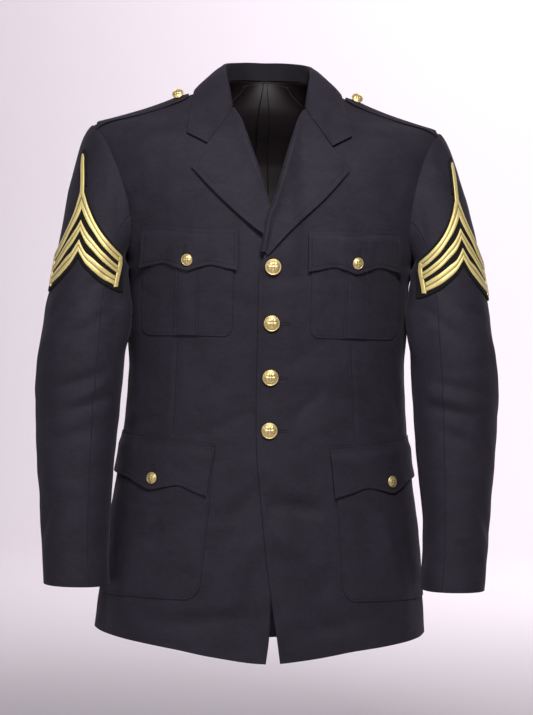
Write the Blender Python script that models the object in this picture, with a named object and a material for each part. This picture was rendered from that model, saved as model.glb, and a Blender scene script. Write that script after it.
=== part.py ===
"""A single-breasted military dress coat, filled out and hollow, as separate cloth pieces, braid and buttons.

Metres, +Z up. The front of the coat faces -Y and the wearer's left is +X. The origin lies on the midline at the level
where the shoulders and the neck of a wearer would carry the coat. Every cloth piece is a wall with an outer and an inner
face. The body is one surface, body(angle, z), and whatever lies on it is made from the same surface, moved out.
"""
import bisect
import math

import bmesh
import bpy
from mathutils import Vector

WALL = 0.0015          # cloth
THIN = 0.0011          # pocket cloth and flaps
BRAID = 0.0009         # embroidered stripes
SEAM = 0.0003          # space between two pieces at a seam
SQUARE = 2.4           # squareness of the body's plan, 2 is an ellipse
ARMPIT_Z = -0.232
SHOULDER_Z = -0.050    # height of the shoulder seam's outer end
NECK_Z = 0.012         # height of the shoulder seam's neck end
ON = 0.0020            # space under the lapels and the collar where they lie on the fronts
LAP = 0.0027           # how far the left front stands off the right one
BUTTON_Z = (-0.2427, -0.3152, -0.3859, -0.4554)
LARGE_BUTTON = 0.0105  # radius
SMALL_BUTTON = 0.0077


class Table:
    """Smooth curves through the rows of a table with named columns; the first column is the variable."""

    def __init__(self, columns, rows):
        self.at = [r[0] for r in rows]
        for i, name in enumerate(columns.split()[1:], 1):
            setattr(self, name, self._curve([r[i] for r in rows]))

    def _curve(self, values):
        at, n = self.at, len(values)
        step = [(values[i + 1] - values[i]) / (at[i + 1] - at[i]) for i in range(n - 1)]
        slope = [step[0]] + [0.0 if a * b <= 0 else 2 * a * b / (a + b) for a, b in zip(step, step[1:])] + [step[-1]]

        def curve(t):
            t = min(max(t, at[0]), at[-1])
            i = min(bisect.bisect_right(at, t) - 1, n - 2)
            h = at[i + 1] - at[i]
            u = (t - at[i]) / h
            return ((1 + 2 * u) * (1 - u) ** 2 * values[i] + u * u * (3 - 2 * u) * values[i + 1]
                    + h * u * (1 - u) ** 2 * slope[i] - h * u * u * (1 - u) * slope[i + 1])
        return curve


BODY = Table("z width front back round", [
    (-0.775, 0.2265, 0.141, 0.126, 0.50), (-0.725, 0.2240, 0.138, 0.124, 0.50), (-0.648, 0.2170, 0.133, 0.118, 0.50),
    (-0.588, 0.2100, 0.130, 0.113, 0.50), (-0.525, 0.2000, 0.127, 0.105, 0.50), (-0.460, 0.1925, 0.125, 0.097, 0.50),
    (-0.420, 0.1895, 0.125, 0.095, 0.50), (-0.360, 0.1870, 0.129, 0.099, 0.50), (-0.300, 0.1865, 0.135, 0.106, 0.50),
    (-0.260, 0.1880, 0.138, 0.111, 0.50), (-0.240, 0.1935, 0.138, 0.113, 0.50), (-0.232, 0.1970, 0.138, 0.114, 0.50),
    (-0.222, 0.2010, 0.138, 0.115, 0.50),
    (-0.194, 0.2090, 0.136, 0.117, 0.50), (-0.160, 0.2200, 0.133, 0.118, 0.50), (-0.126, 0.2320, 0.128, 0.118, 0.52),
    (-0.090, 0.2440, 0.118, 0.114, 0.57), (-0.070, 0.2480, 0.109, 0.107, 0.64), (-0.058, 0.2450, 0.099, 0.101, 0.69),
    (-0.050, 0.2340, 0.089, 0.095, 0.72), (-0.041, 0.2050, 0.075, 0.087, 0.74), (-0.0275, 0.1650, 0.058, 0.080, 0.75),
    (-0.012, 0.1230, 0.045, 0.076, 0.75), (-0.002, 0.0950, 0.040, 0.076, 0.73), (0.012, 0.0680, 0.036, 0.077, 0.66),
    (0.019, 0.0580, 0.034, 0.078, 0.60), (0.0245, 0.0500, 0.032, 0.078, 0.55)])

ARMHOLE = Table("z front back", [
    (ARMPIT_Z, 0.1970, 0.1970), (-0.215, 0.1875, 0.1940), (-0.194, 0.1850, 0.1945), (-0.163, 0.1880, 0.1985),
    (-0.126, 0.1966, 0.2045), (-0.0917, 0.2087, 0.2145), (-0.0653, 0.2220, 0.2265), (-0.058, 0.2275, 0.2310),
    (SHOULDER_Z, 0.2340, 0.2340)])

# the fronts' inner edges: the lapping edge, the roll line and the neckline, measured across the midline
FRONT_EDGE = Table("z over under", [
    (-0.7586, 0.0194, -0.0010), (-0.720, 0.0138, -0.0050), (-0.677, 0.0068, -0.0060), (-0.623, -0.0010, -0.0100),
    (-0.560, -0.0080, -0.0140), (-0.480, -0.0160, -0.0175), (-0.420, -0.0178, -0.0180), (-0.250, -0.0180, -0.0180),
    (-0.228, -0.0118, -0.0118), (-0.2056, -0.0080, -0.0080), (-0.176, -0.0020, -0.0020), (-0.1645, 0.0036, 0.0036), (-0.1357, 0.0140, 0.0140), (-0.0893, 0.0292, 0.0292),
    (-0.066, 0.0368, 0.0368), (-0.0465, 0.0435, 0.0435), (-0.034, 0.0500, 0.0500), (-0.022, 0.0550, 0.0550),
    (-0.010, 0.0610, 0.0610), (0.004, 0.0660, 0.0660), (NECK_Z, 0.0680, 0.0680)])

HEM = Table("degrees z", [(-10, -0.7583), (0, -0.7580), (18, -0.7505), (32, -0.7420), (49, -0.7360), (68, -0.7315),
                          (90, -0.7280), (120, -0.7360), (150, -0.7500), (180, -0.7570)])

BACK_NECK = Table("x z", [(0.0, 0.0245), (0.030, 0.0235), (0.050, 0.0190), (0.060, 0.0155), (0.068, NECK_Z)])

SLEEVE = Table("z outer inner middle depth", [
    (-0.663, 0.2915, 0.2045, -0.080, 0.050), (-0.600, 0.2970, 0.2065, -0.071, 0.053),
    (-0.546, 0.3005, 0.2050, -0.064, 0.056), (-0.500, 0.3045, 0.2020, -0.058, 0.058),
    (-0.460, 0.3075, 0.1985, -0.053, 0.060), (-0.407, 0.3090, 0.1945, -0.047, 0.064),
    (-0.354, 0.3055, 0.1915, -0.040, 0.068), (-0.300, 0.2990, 0.1885, -0.030, 0.072)])
SLEEVE_TOP_Z, CUFF_Z = -0.300, -0.663

# half of the collar, from the middle of the back (0) to the gorge (1)
COLLAR = Table("way seam_x seam_y seam_z fold_x fold_y fold_z edge_x edge_y edge_z", [
    (0.00, 0.0000, 0.0780, 0.0249, 0.0000, 0.0840, 0.0480, 0.0000, 0.1010, 0.004),
    (0.15, 0.0220, 0.0710, 0.0244, 0.0240, 0.0785, 0.0475, 0.0280, 0.0970, 0.003),
    (0.30, 0.0430, 0.0500, 0.0214, 0.0460, 0.0600, 0.0440, 0.0580, 0.0820, 0.001),
    (0.40, 0.0570, 0.0295, 0.0172, 0.0555, 0.0400, 0.0390, 0.0800, 0.0580, -0.001),
    (0.50, 0.0680, 0.0000, 0.0126, 0.0585, 0.0150, 0.0325, 0.0945, 0.0250, -0.002),
    (0.65, 0.0662, -0.0200, 0.0052, 0.0575, -0.0120, 0.0215, 0.0990, -0.0060, -0.010),
    (0.80, 0.0612, -0.0360, -0.0086, 0.0545, -0.0340, 0.0050, 0.1010, -0.0330, -0.030),
    (0.90, 0.0552, -0.0475, -0.0205, 0.0515, -0.0500, -0.0130, 0.1050, -0.0640, -0.055),
    (1.00, 0.0502, -0.0640, -0.0330, 0.0485, -0.0670, -0.0335, 0.1080, -0.0960, -0.069)])
GORGE_TOP, NOTCH, COLLAR_POINT, LAPEL_POINT = (0.0480, -0.0335), (0.0810, -0.0830), (0.1080, -0.0690), (0.1030, -0.1146)
LAPEL_LOW = {1: (-0.0072, -0.2280, -0.2240), -1: (-0.004, -0.2130, -0.2080)}   # lower corner's x and z, and where the roll starts
LAPEL_EDGE = {side: Table("way x z", [(0.0, low[0], low[1]), (0.25, 0.0290, -0.1890), (0.60, 0.0710, -0.1497),
                                      (1.0, LAPEL_POINT[0], LAPEL_POINT[1])]) for side, low in LAPEL_LOW.items()}
ROLL_STEPS = (0.0, 0.06, 0.15, 0.31, 0.46, 0.62, 0.81, 1.0)

# flaps, as how far each edge is along (0 inner, 1 outer) and its height
BREAST_FLAP = Table("way top bottom", [(0.0, -0.1950, -0.2478), (0.14, -0.1948, -0.2447), (0.28, -0.1944, -0.2412),
                                       (0.40, -0.1938, -0.2446), (0.51, -0.1930, -0.2486), (0.62, -0.1922, -0.2440),
                                       (0.76, -0.1912, -0.2387), (0.88, -0.1902, -0.2410), (1.0, -0.1890, -0.2442)])
LOWER_FLAP = Table("way top bottom", [(0.0, -0.4755, -0.5425), (0.12, -0.4742, -0.5365), (0.25, -0.4722, -0.5296),
                                      (0.36, -0.4702, -0.5330), (0.47, -0.4682, -0.5370), (0.58, -0.4660, -0.5312),
                                      (0.72, -0.4638, -0.5222), (0.86, -0.4622, -0.5195), (1.0, -0.4615, -0.5172)])
BREAST_X = (0.0455, 0.1700)      # inner and outer side of the breast flap
BREAST_BAG_X = (0.0506, 0.1680)
PLEAT_X = (0.0945, 0.1250)
# the lower pocket's inner edges, as angles round the body; the wearer's right one sits nearer the front edge
LOWER_INNER = {1: Table("z flap bag", [(-0.680, 25.5, 27.7), (-0.540, 25.3, 26.4), (-0.470, 24.1, 26.1)]),
               -1: Table("z flap bag", [(-0.680, 23.2, 23.5), (-0.540, 23.0, 21.6), (-0.470, 20.7, 21.2)])}
LOWER_OUTER = (88.0, 86.0)       # and the outer ones, of the flap and the bag
LOWER_POINT = {1: 0.0, -1: 0.08}  # how far the scallop's point moves inwards

CHEVRON_MIDDLE = Table("z x", [(-0.300, 0.2570), (-0.2226, 0.2532), (-0.168, 0.2485), (-0.092, 0.2457)])
# half of the chevron on the sleeve: distance round the sleeve from its middle line, and the stripes' edges
CHEVRON = Table("out top_hi top_lo mid_hi mid_lo low_hi low_lo back_hi back_lo", [
    (0.000, -0.1380, -0.1685, -0.1842, -0.1979, -0.2103, -0.2253, -0.1280, -0.2330),
    (0.004, -0.1480, -0.1780, -0.1915, -0.2052, -0.2180, -0.2322, -0.1400, -0.2395),
    (0.010, -0.1660, -0.1900, -0.2020, -0.2150, -0.2283, -0.2414, -0.1600, -0.2475),
    (0.018, -0.1845, -0.2035, -0.2146, -0.2260, -0.2383, -0.2494, -0.1790, -0.2550),
    (0.031, -0.2040, -0.2190, -0.2280, -0.2388, -0.2496, -0.2594, -0.1990, -0.2655),
    (0.046, -0.2195, -0.2318, -0.2412, -0.2495, -0.2610, -0.2668, -0.2148, -0.2730),
    (0.060, -0.2290, -0.2400, -0.2500, -0.2570, -0.2690, -0.2720, -0.2245, -0.2780)])

STRAP_X = (0.1060, 0.2290)
BACKING, BACKING_OFF = 0.0008, 0.0018


def smooth(t, start, end):
    t = min(max((t - start) / (end - start), 0.0), 1.0)
    return t * t * (3 - 2 * t)


def mix(a, b, t):
    return a + (b - a) * t


def lean(z):
    """The neck sits a little to the wearer's right of the button line."""
    return -0.006 * smooth(z, -0.22, -0.06)


def hang(p):
    return Vector((p[0] + lean(p[2]), p[1], p[2]))


def body(angle, z):
    """A point of the body: angle 0 is the middle of the front, 90 degrees the side, 180 the middle of the back."""
    s, depth = math.sin(angle), BODY.front(z) if math.cos(angle) >= 0 else -BODY.back(z)
    y = -depth * max(1 - abs(s) ** SQUARE, 0.0) ** BODY.round(z)
    return Vector((BODY.width(z) * s, y, z))


def body_normal(angle, z):
    e, g = 1e-3, 1e-4
    n = (body(angle + e, z) - body(angle - e, z)).cross(body(angle, z + g) - body(angle, z - g))
    return n.normalized()


def angle_at(x, z, behind=False):
    a = math.asin(min(max(x / BODY.width(z), -1.0), 1.0))
    return math.pi - a if behind else a


def on_body(angle, z, off):
    return body(angle, z) + body_normal(angle, z) * off


def shoulder_height(x, y):
    """Height of the body above the plan position (x, y)."""
    def inside(z):
        depth = BODY.front(z) if y < 0 else BODY.back(z)
        return abs(x) < BODY.width(z) and abs(y) < depth * (1 - (abs(x) / BODY.width(z)) ** SQUARE) ** BODY.round(z)

    lo = 0.0245
    while not inside(lo) and lo > -0.3:
        lo -= 0.002
    hi = lo + 0.002
    for _ in range(24):
        z = (lo + hi) / 2
        lo, hi = (z, hi) if inside(z) else (lo, z)
    return lo


def lap(x, z):
    """How far the left front is lifted where it crosses the right one, most where the right lapel lies between."""
    return (LAP + 0.0036 * smooth(z, -0.262, -0.222)) * (1 - smooth(x, 0.020, 0.044))


def armhole(turn):
    """The armhole's edge; turn 0 is its top, 90 degrees the front, 180 the armpit and 270 the back."""
    z = mix(ARMPIT_Z, SHOULDER_Z, (1 + math.cos(turn)) / 2)
    front = math.sin(turn) >= 0
    x = ARMHOLE.front(z) if front else ARMHOLE.back(z)
    if abs(math.sin(turn)) < 1e-6:
        return math.pi / 2, z
    return angle_at(x, z, not front), z


def sleeve_ring(turn, z):
    out, inn = SLEEVE.outer(z), SLEEVE.inner(z)
    c, s = math.cos(turn), math.sin(turn)
    return Vector(((out + inn) / 2 + (out - inn) / 2 * math.copysign(abs(c) ** 0.93, c),
                   SLEEVE.middle(z) - SLEEVE.depth(z) * math.copysign(abs(s) ** 0.93, s), z))


def sleeve(turn, down):
    """The sleeve: down runs from the armhole (0) over the sleeve head to the upper arm (1) and the cuff (2)."""
    if down >= 1:
        return sleeve_ring(turn, mix(SLEEVE_TOP_Z, CUFF_Z, down - 1))
    start, end = body(*armhole(turn)), sleeve_ring(turn, SLEEVE_TOP_Z)
    w = (1 + math.cos(turn)) / 2
    a = start + Vector((0.025 * w ** 0.35 + 0.008 * (1 - w) ** 2, -0.006 * math.sin(turn) * abs(math.sin(turn)), -0.003 - 0.022 * (1 - w) ** 2))
    b = end + Vector((-0.015, 0.012, 0.085)) * w + Vector((0.0025, 0.010, 0.026)) * (1 - w)
    t, u = down, 1 - down
    return start * u ** 3 + a * 3 * u * u * t + b * 3 * u * t * t + end * t ** 3


def sleeve_normal(turn, down):
    e = 2e-3
    lo, hi = max(down - e, 0.0), min(down + e, 2.0)
    n = (sleeve(turn + e, down) - sleeve(turn - e, down)).cross(sleeve(turn, hi) - sleeve(turn, lo))
    return n.normalized()


def sleeve_level(z, steps=72):
    """The sleeve's outline at one height, from its front over its outer side to its back, as (turn, down)."""
    line = []
    for i in range(steps + 1):
        turn = math.radians(mix(150, -100, i / steps))
        lo, hi = 0.0, 2.0
        for _ in range(30):
            m = (lo + hi) / 2
            lo, hi = (m, hi) if sleeve(turn, m).z > z else (lo, m)
        if lo > 1e-4:
            line.append((turn, lo))
    return line


LEVELS = {}


def on_sleeve(out, z, off):
    """A point at a distance round the sleeve from the chevron's middle line, towards the front if positive."""
    key = round(z, 5)
    if key not in LEVELS:
        marks = sleeve_level(z)
        points = [sleeve(*m) for m in marks]
        run = [0.0]
        for p, q in zip(points, points[1:]):
            run.append(run[-1] + (q - p).length)
        middle = next((r for r, p in zip(run, points) if p.x >= CHEVRON_MIDDLE.x(z)), run[0])
        LEVELS[key] = (marks, run, middle)
    marks, run, middle = LEVELS[key]
    want = min(max(middle - out, run[0]), run[-1] - 1e-6)
    i = min(bisect.bisect_right(run, want) - 1, len(run) - 2)
    f = (want - run[i]) / (run[i + 1] - run[i])
    turn, down = (mix(marks[i][k], marks[i + 1][k], f) for k in (0, 1))
    return sleeve(turn, down) + sleeve_normal(turn, down) * off


MATERIALS = {"coat_cloth": ((0.022, 0.020, 0.030), 0.85, 0.0), "lining": ((0.012, 0.009, 0.010), 0.45, 0.0),
             "chevron_backing": ((0.006, 0.006, 0.008), 0.9, 0.0), "gold_braid": ((0.55, 0.36, 0.07), 0.5, 0.3),
             "gold_button": ((0.80, 0.58, 0.20), 0.25, 1.0)}


def material(name):
    m = bpy.data.materials.get(name)
    if m is None:
        m = bpy.data.materials.new(name)
        m.use_nodes = True
        colour, rough, metal = MATERIALS[name]
        shader = m.node_tree.nodes["Principled BSDF"]
        shader.inputs["Base Color"].default_value = (*colour, 1)
        shader.inputs["Roughness"].default_value = rough
        shader.inputs["Metallic"].default_value = metal
    return m


def add(name, bm, finish):
    bmesh.ops.triangulate(bm, faces=[f for f in bm.faces if len(f.verts) > 3])
    bmesh.ops.recalc_face_normals(bm, faces=bm.faces)
    mesh = bpy.data.meshes.new(name)
    bm.to_mesh(mesh)
    bm.free()
    if sum(mesh.vertices[t.vertices[0]].co.dot(mesh.vertices[t.vertices[1]].co.cross(mesh.vertices[t.vertices[2]].co))
           for t in mesh.polygons) < 0:
        mesh.flip_normals()
    mesh.materials.append(material(finish))
    mesh.shade_smooth()
    mesh.set_sharp_from_angle(angle=math.radians(40))
    bpy.context.collection.objects.link(bpy.data.objects.new(name, mesh))


def wall(name, outer, inner, finish, side=1, keep=None):
    """A closed wall between two grids of points; keep leaves cells out, and side -1 mirrors it to the wearer's right."""
    bm = bmesh.new()
    flip = lambda p: hang((p[0] * side, p[1], p[2]))
    cells = [(i, j) for i in range(len(outer) - 1) for j in range(len(outer[0]) - 1) if keep is None or keep(i, j)]
    used = {(i + a, j + b) for i, j in cells for a in (0, 1) for b in (0, 1)}
    faces = {}
    verts = [{k: bm.verts.new(flip(g[k[0]][k[1]])) for k in sorted(used)} for g in (outer, inner)]
    for i, j in cells:
        ring = [(i, j), (i, j + 1), (i + 1, j + 1), (i + 1, j)]
        bm.faces.new([verts[0][k] for k in ring])
        bm.faces.new([verts[1][k] for k in reversed(ring)])
        for a, b in zip(ring, ring[1:] + ring[:1]):
            faces[(a, b)] = True
    for a, b in faces:
        if (b, a) not in faces:
            bm.faces.new([verts[0][b], verts[0][a], verts[1][a], verts[1][b]])
    add(name, bm, finish)


def sheet_on_body(name, grid, off, thick, finish, side, keep=None):
    """A piece that lies on the body: grid holds (angle, z), and off(i, j, angle, z) how far its inner face stands off."""
    outer = [[on_body(a, z, off(i, j, a, z) + thick) for j, (a, z) in enumerate(r)] for i, r in enumerate(grid)]
    inner = [[on_body(a, z, off(i, j, a, z)) for j, (a, z) in enumerate(r)] for i, r in enumerate(grid)]
    wall(name, outer, inner, finish, side, keep)


def steps(n):
    return [i / n for i in range(n + 1)]


LOW = (0, 0.15, 0.30, 0.44, 0.57, 0.69, 0.80, 0.89, 0.945, 0.975, 1)
LOW_ROWS, HIGH_ROWS, FRONT_COLS, BACK_COLS, NECK_COLS = 10, 8, 10, 7, 3


def front(name, side):
    edge = FRONT_EDGE.over if side > 0 else FRONT_EDGE.under
    rows = []
    for v in LOW[:-1]:
        row = []
        for u in steps(FRONT_COLS):
            z = ARMPIT_Z
            for _ in range(4):
                inner = angle_at(edge(z), z)
                a = mix(inner, math.pi / 2, u)
                z = mix(HEM.z(math.degrees(a)), ARMPIT_Z, v)
            row.append((a, z))
        rows.append(row)
    for v in steps(HIGH_ROWS):
        out_angle, out_z = armhole(math.pi * (1 - v))
        in_z = mix(ARMPIT_Z, NECK_Z, (1 - math.cos(math.pi * v)) / 2)
        in_angle = math.pi / 2 if v == 1 else angle_at(edge(in_z), in_z)
        rows.append([(mix(in_angle, out_angle, u), mix(in_z, out_z, u)) for u in steps(FRONT_COLS)])
    outer, inner = [], []
    for row in rows:
        points = [(body(a, z), body_normal(a, z), lap(body(a, z).x, z) if side > 0 else 0.0) for a, z in row]
        outer.append([p + n * l for p, n, l in points])
        inner.append([p + n * (l - WALL) for p, n, l in points])
    for g in (outer, inner):
        for p in g[-1]:
            p.y -= SEAM / 2
        for row in g[:LOW_ROWS + 1]:
            row[-1].y -= SEAM / 2
    wall(name, outer, inner, "coat_cloth", side)


def back(name, side):
    rows = []
    for v in LOW[:-1]:
        rows.append([(a, mix(HEM.z(math.degrees(a)), ARMPIT_Z, v))
                     for a in (mix(math.pi, math.pi / 2, u) for u in steps(BACK_COLS))])
    for v in steps(HIGH_ROWS)[:-1]:
        out_angle, out_z = armhole(math.pi * (1 + v))
        in_z = mix(ARMPIT_Z, 0.0245, (1 - math.cos(math.pi * v)) / 2)
        rows.append([(mix(math.pi, out_angle, u), mix(in_z, out_z, u)) for u in steps(BACK_COLS)])
    top = []
    for j in range(BACK_COLS + 1):
        if j < NECK_COLS:
            x = 0.068 * j / NECK_COLS
            z = BACK_NECK.z(x)
            top.append((angle_at(x, z, True), z))
        else:
            top.append((math.pi / 2, mix(NECK_Z, SHOULDER_Z, (j - NECK_COLS) / (BACK_COLS - NECK_COLS))))
    rows.append(top)
    outer = [[body(a, z) for a, z in r] for r in rows]
    inner = [[body(a, z) - body_normal(a, z) * WALL for a, z in r] for r in rows]
    for g in (outer, inner):
        for j, p in enumerate(g[-1]):
            p.y += SEAM / 2
        for row in g[:LOW_ROWS + 1]:
            row[-1].y += SEAM / 2
        for row in g:
            row[0].x = SEAM / 2
    wall(name, outer, inner, "coat_cloth", side)


def sleeve_piece(name, turns, side, seam_low, seam_high):
    """One of the two pieces of a sleeve, between two long seams."""
    downs = [0.0, 0.05, 0.14, 0.27, 0.44, 0.63, 0.82, 1.0, 1.16, 1.33, 1.5, 1.75, 2.0]
    outer, inner = [], []
    for down in downs:
        ro, ri = [], []
        for j, turn in enumerate(turns):
            t = turn + (0.0032 if j == 0 and seam_low else 0) - (0.0032 if j == len(turns) - 1 and seam_high else 0)
            p = sleeve(t, down)
            if down == 0.0:
                own, panel = sleeve_normal(t, 0.03), body_normal(*armhole(t))
                n = own.lerp(panel, smooth(own.dot(panel), 0.0, 0.5)).normalized()
                away = (sleeve(t, 0.02) - p).normalized() + panel * (1 - smooth(own.dot(panel), 0.0, 0.5))
                p += away.normalized() * SEAM * 1.5
            else:
                n = sleeve_normal(t, down)
            ro.append(p)
            ri.append(p - n * WALL)
        outer.append(ro)
        inner.append(ri)
    wall(name, outer, inner, "coat_cloth", side)


def gorge(u, end):
    """The seam of collar and lapel and the notch's side beyond it, in the front view."""
    if u <= 0.62:
        return [mix(a, b, u / 0.62) for a, b in zip(GORGE_TOP, NOTCH)]
    return [mix(a, b, (u - 0.62) / 0.38) for a, b in zip(NOTCH, end)]


def roll_rise(u):
    return 0.0035 * max(1 - u / 0.3, 0.0) ** 2


def lapel(name, side):
    def roll(t):
        z = mix(LAPEL_LOW[side][2], GORGE_TOP[1], t)
        return [FRONT_EDGE.over(z), z]
    n = 7
    grid = []
    low = LAPEL_LOW[side][:2]
    for t in steps(n):
        row = []
        for u in ROLL_STEPS:
            point = []
            for k in (0, 1):
                left = roll(t)[k] if t < 1 else GORGE_TOP[k]
                right = (LAPEL_EDGE[side].x(t), LAPEL_EDGE[side].z(t))[k]
                top, bottom = gorge(u, LAPEL_POINT)[k], mix(roll(0)[k], low[k], u)
                corners = mix(mix(roll(0)[k], low[k], u), mix(GORGE_TOP[k], LAPEL_POINT[k], u), t)
                point.append(mix(left, right, u) + mix(bottom, top, t) - corners)
            row.append((angle_at(point[0], point[1]), point[1] - (SEAM * 0.7 if t == 1 else 0)))
        grid.append(row)
    rise = (lambda i, j, a, z: lap(body(a, z).x, z) + ON + roll_rise(ROLL_STEPS[j])) if side > 0 else (
        lambda i, j, a, z: ON + roll_rise(ROLL_STEPS[j]) * smooth(z, -0.165, -0.115))
    sheet_on_body(name, grid, rise, WALL, "coat_cloth", side)


def out_of_neck(p):
    return Vector((p.x, p.y - 0.010, 0)).normalized()


def collar():
    ways = [-1, -0.92, -0.82, -0.71, -0.60, -0.49, -0.38, -0.26, -0.13, 0]
    ways += [-w for w in reversed(ways[:-1])]

    def at(w, part):
        side = 1 if w >= 0 else -1
        return Vector((side * getattr(COLLAR, part + "_x")(abs(w)), getattr(COLLAR, part + "_y")(abs(w)),
                       getattr(COLLAR, part + "_z")(abs(w))))

    fall = []
    for w in ways:
        f, e = at(w, "fold"), at(w, "edge")
        if abs(w) > 0.42:
            e.z = max(e.z, shoulder_height(e.x, e.y) + 0.0034)
        o = out_of_neck(f)
        m = Vector((mix(f.x, e.x, 0.62), mix(f.y, e.y, 0.62), mix(f.z, e.z, 0.18)))
        column = [f, f + o * 0.0016 + Vector((0, 0, 0.0016))]
        start = f + o * 0.0042 + Vector((0, 0, 0.0010))
        for u in ROLL_STEPS[2:]:
            t = (u - ROLL_STEPS[2]) / (1 - ROLL_STEPS[2])
            column.append(start * (1 - t) ** 2 + m * 2 * t * (1 - t) + e * t * t)
        near = smooth(abs(w), 0.80, 1.0)
        for k, u in enumerate(ROLL_STEPS):
            x, z = gorge(u, COLLAR_POINT)
            z += SEAM * 0.7
            g = on_body(angle_at(x, z), z, ON + WALL + roll_rise(u))
            g.x *= 1 if w > 0 else -1
            p = column[k].lerp(g, near)
            if k > 2:
                p.z = max(p.z, min(shoulder_height(p.x, p.y) + 0.0030, p.z + 0.02))
            column[k] = p
        fall.append(column)
    inner = []
    for i, column in enumerate(fall):
        row = []
        for k, p in enumerate(column):
            along = fall[min(i + 1, len(fall) - 1)][k] - fall[max(i - 1, 0)][k]
            across = column[min(k + 1, len(column) - 1)] - column[max(k - 1, 0)]
            row.append(p + along.cross(across).normalized() * WALL)
        inner.append(row)
    wall("collar_fall", fall, inner, "coat_cloth")

    outer, inner = [], []
    for w in [w for w in ways if abs(w) < 0.9]:
        n, f = at(w, "seam"), at(w, "fold")
        ro, ri = [], []
        for t in steps(3):
            p = n.lerp(f, t * 0.90)
            ro.append(p + out_of_neck(p) * 0.0002)
            ri.append(p + out_of_neck(p) * (0.0002 - 0.0011))
        outer.append(ro)
        inner.append(ri)
    wall("collar_stand", outer, inner, "coat_cloth")


def lining():
    """The back lining, with the pleat that runs down its middle."""
    xs = [-0.105, -0.078, -0.050, -0.028, -0.0105, -0.0100, 0.0000, 0.0060, 0.0062, 0.025, 0.050, 0.078, 0.105]
    outer, inner = [], []
    for v in (0, 0.25, 0.5, 0.68, 0.80, 0.90, 1):
        ro, ri = [], []
        for x in xs:
            scale = mix(1.0, 0.36, smooth(v, 0.80, 1.0))
            xx = x * scale
            z = mix(-0.270, min(BACK_NECK.z(abs(xx)) - 0.005, 0.0175), v)
            a = angle_at(abs(xx), z, True)
            deep = WALL + 0.0034 + 0.0060 * smooth(v, 0.60, 0.95) + (0.0020 if -0.0102 < x < 0.0061 else 0.0)
            p, n = body(a, z), body_normal(a, z)
            q, r = p - n * deep, p - n * (deep + 0.0009)
            for k in (q, r):
                k.x = math.copysign(k.x, x) if x else 0.0
            ro.append(q)
            ri.append(r)
        outer.append(ro)
        inner.append(ri)
    wall("back_lining", outer, inner, "lining")


def strap(name, side):
    outer, inner = [], []
    for u in (0, 0.10, 0.25, 0.40, 0.55, 0.68, 0.79, 0.87, 0.94, 1):
        x = mix(STRAP_X[0], STRAP_X[1], u)
        half = mix(0.0195, 0.0245, u) * (0.30 + 0.70 * smooth(u, -0.05, 0.11))
        ro, ri = [], []
        for t in (-1.0, -0.55, -0.25, 0.0, 0.25, 0.6, 1.0):
            y = t * (half + (0.004 if t < 0 else -0.004))
            z = shoulder_height(x, y)
            e = 1e-3
            n = Vector((-(shoulder_height(x + e, y) - shoulder_height(x - e, y)) / 2 / e,
                        -(shoulder_height(x, y + e) - shoulder_height(x, y - e)) / 2 / e, 1)).normalized()
            p = Vector((x, y, z))
            rise = 0.0010 + 0.0010 * smooth(u, 0.45, 0.9)
            ro.append(p + n * (rise + WALL))
            ri.append(p + n * rise)
        outer.append(ro)
        inner.append(ri)
    wall(name, outer, inner, "coat_cloth", side)


BAG_OFF = 0.0010
PLEAT_OFF = BAG_OFF + THIN + 0.0004
FLAP_OFF = BAG_OFF + THIN + 0.0010


def over_pleat(x):
    return smooth(x, PLEAT_X[0] - 0.012, PLEAT_X[0] - 0.002) * (1 - smooth(x, PLEAT_X[1] + 0.002, PLEAT_X[1] + 0.012))


def breast_flap_off(x, z):
    top = smooth(z, -0.2030, -0.1960)
    return mix(FLAP_OFF + 0.0013 * over_pleat(x), 0.0010, top)


def rounded(way, z_low, radius_way, drop):
    """Raises the bottom edge at a pocket's rounded corners."""
    edge = min(way, 1 - way)
    t = max(1 - edge / radius_way, 0.0)
    return z_low + drop * (1 - math.sqrt(max(1 - t * t, 0.0)))


def breast_pocket(side, word):
    ways = [0, 0.04, 0.10, 0.25, 0.42, 0.60, 0.75, 0.90, 0.96, 1]
    grid = []
    for v in steps(4):
        row = []
        for w in ways:
            x = mix(*BREAST_BAG_X, w)
            z = mix(rounded(w, -0.3340, 0.10, 0.013), -0.2180, v)
            row.append((angle_at(x, z), z))
        grid.append(row)
    sheet_on_body("breast_pocket_" + word, grid, lambda i, j, a, z: BAG_OFF, THIN, "coat_cloth", side)

    grid = [[(angle_at(mix(*PLEAT_X, w), z), z) for w in steps(3)] for z in (mix(-0.3325, -0.2230, v) for v in steps(4))]
    sheet_on_body("breast_pleat_" + word, grid, lambda i, j, a, z: PLEAT_OFF, 0.0010, "coat_cloth", side)

    grid = []
    for v in (0, 0.4, 0.8, 1):
        row = []
        for w in BREAST_FLAP.at:
            z = mix(BREAST_FLAP.bottom(w), BREAST_FLAP.top(w), v)
            row.append((angle_at(mix(*BREAST_X, w), z), z))
        grid.append(row)
    sheet_on_body("breast_flap_" + word, grid, lambda i, j, a, z: breast_flap_off(body(a, z).x, z), THIN,
                  "coat_cloth", side)


def lower_flap_off(z):
    return mix(FLAP_OFF, 0.0010, smooth(z, -0.488, -0.478))


def flap_angle(side, way, z):
    way -= LOWER_POINT[side] * math.sin(math.pi * way)
    return math.radians(mix(LOWER_INNER[side].flap(z), LOWER_OUTER[0], way))


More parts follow.
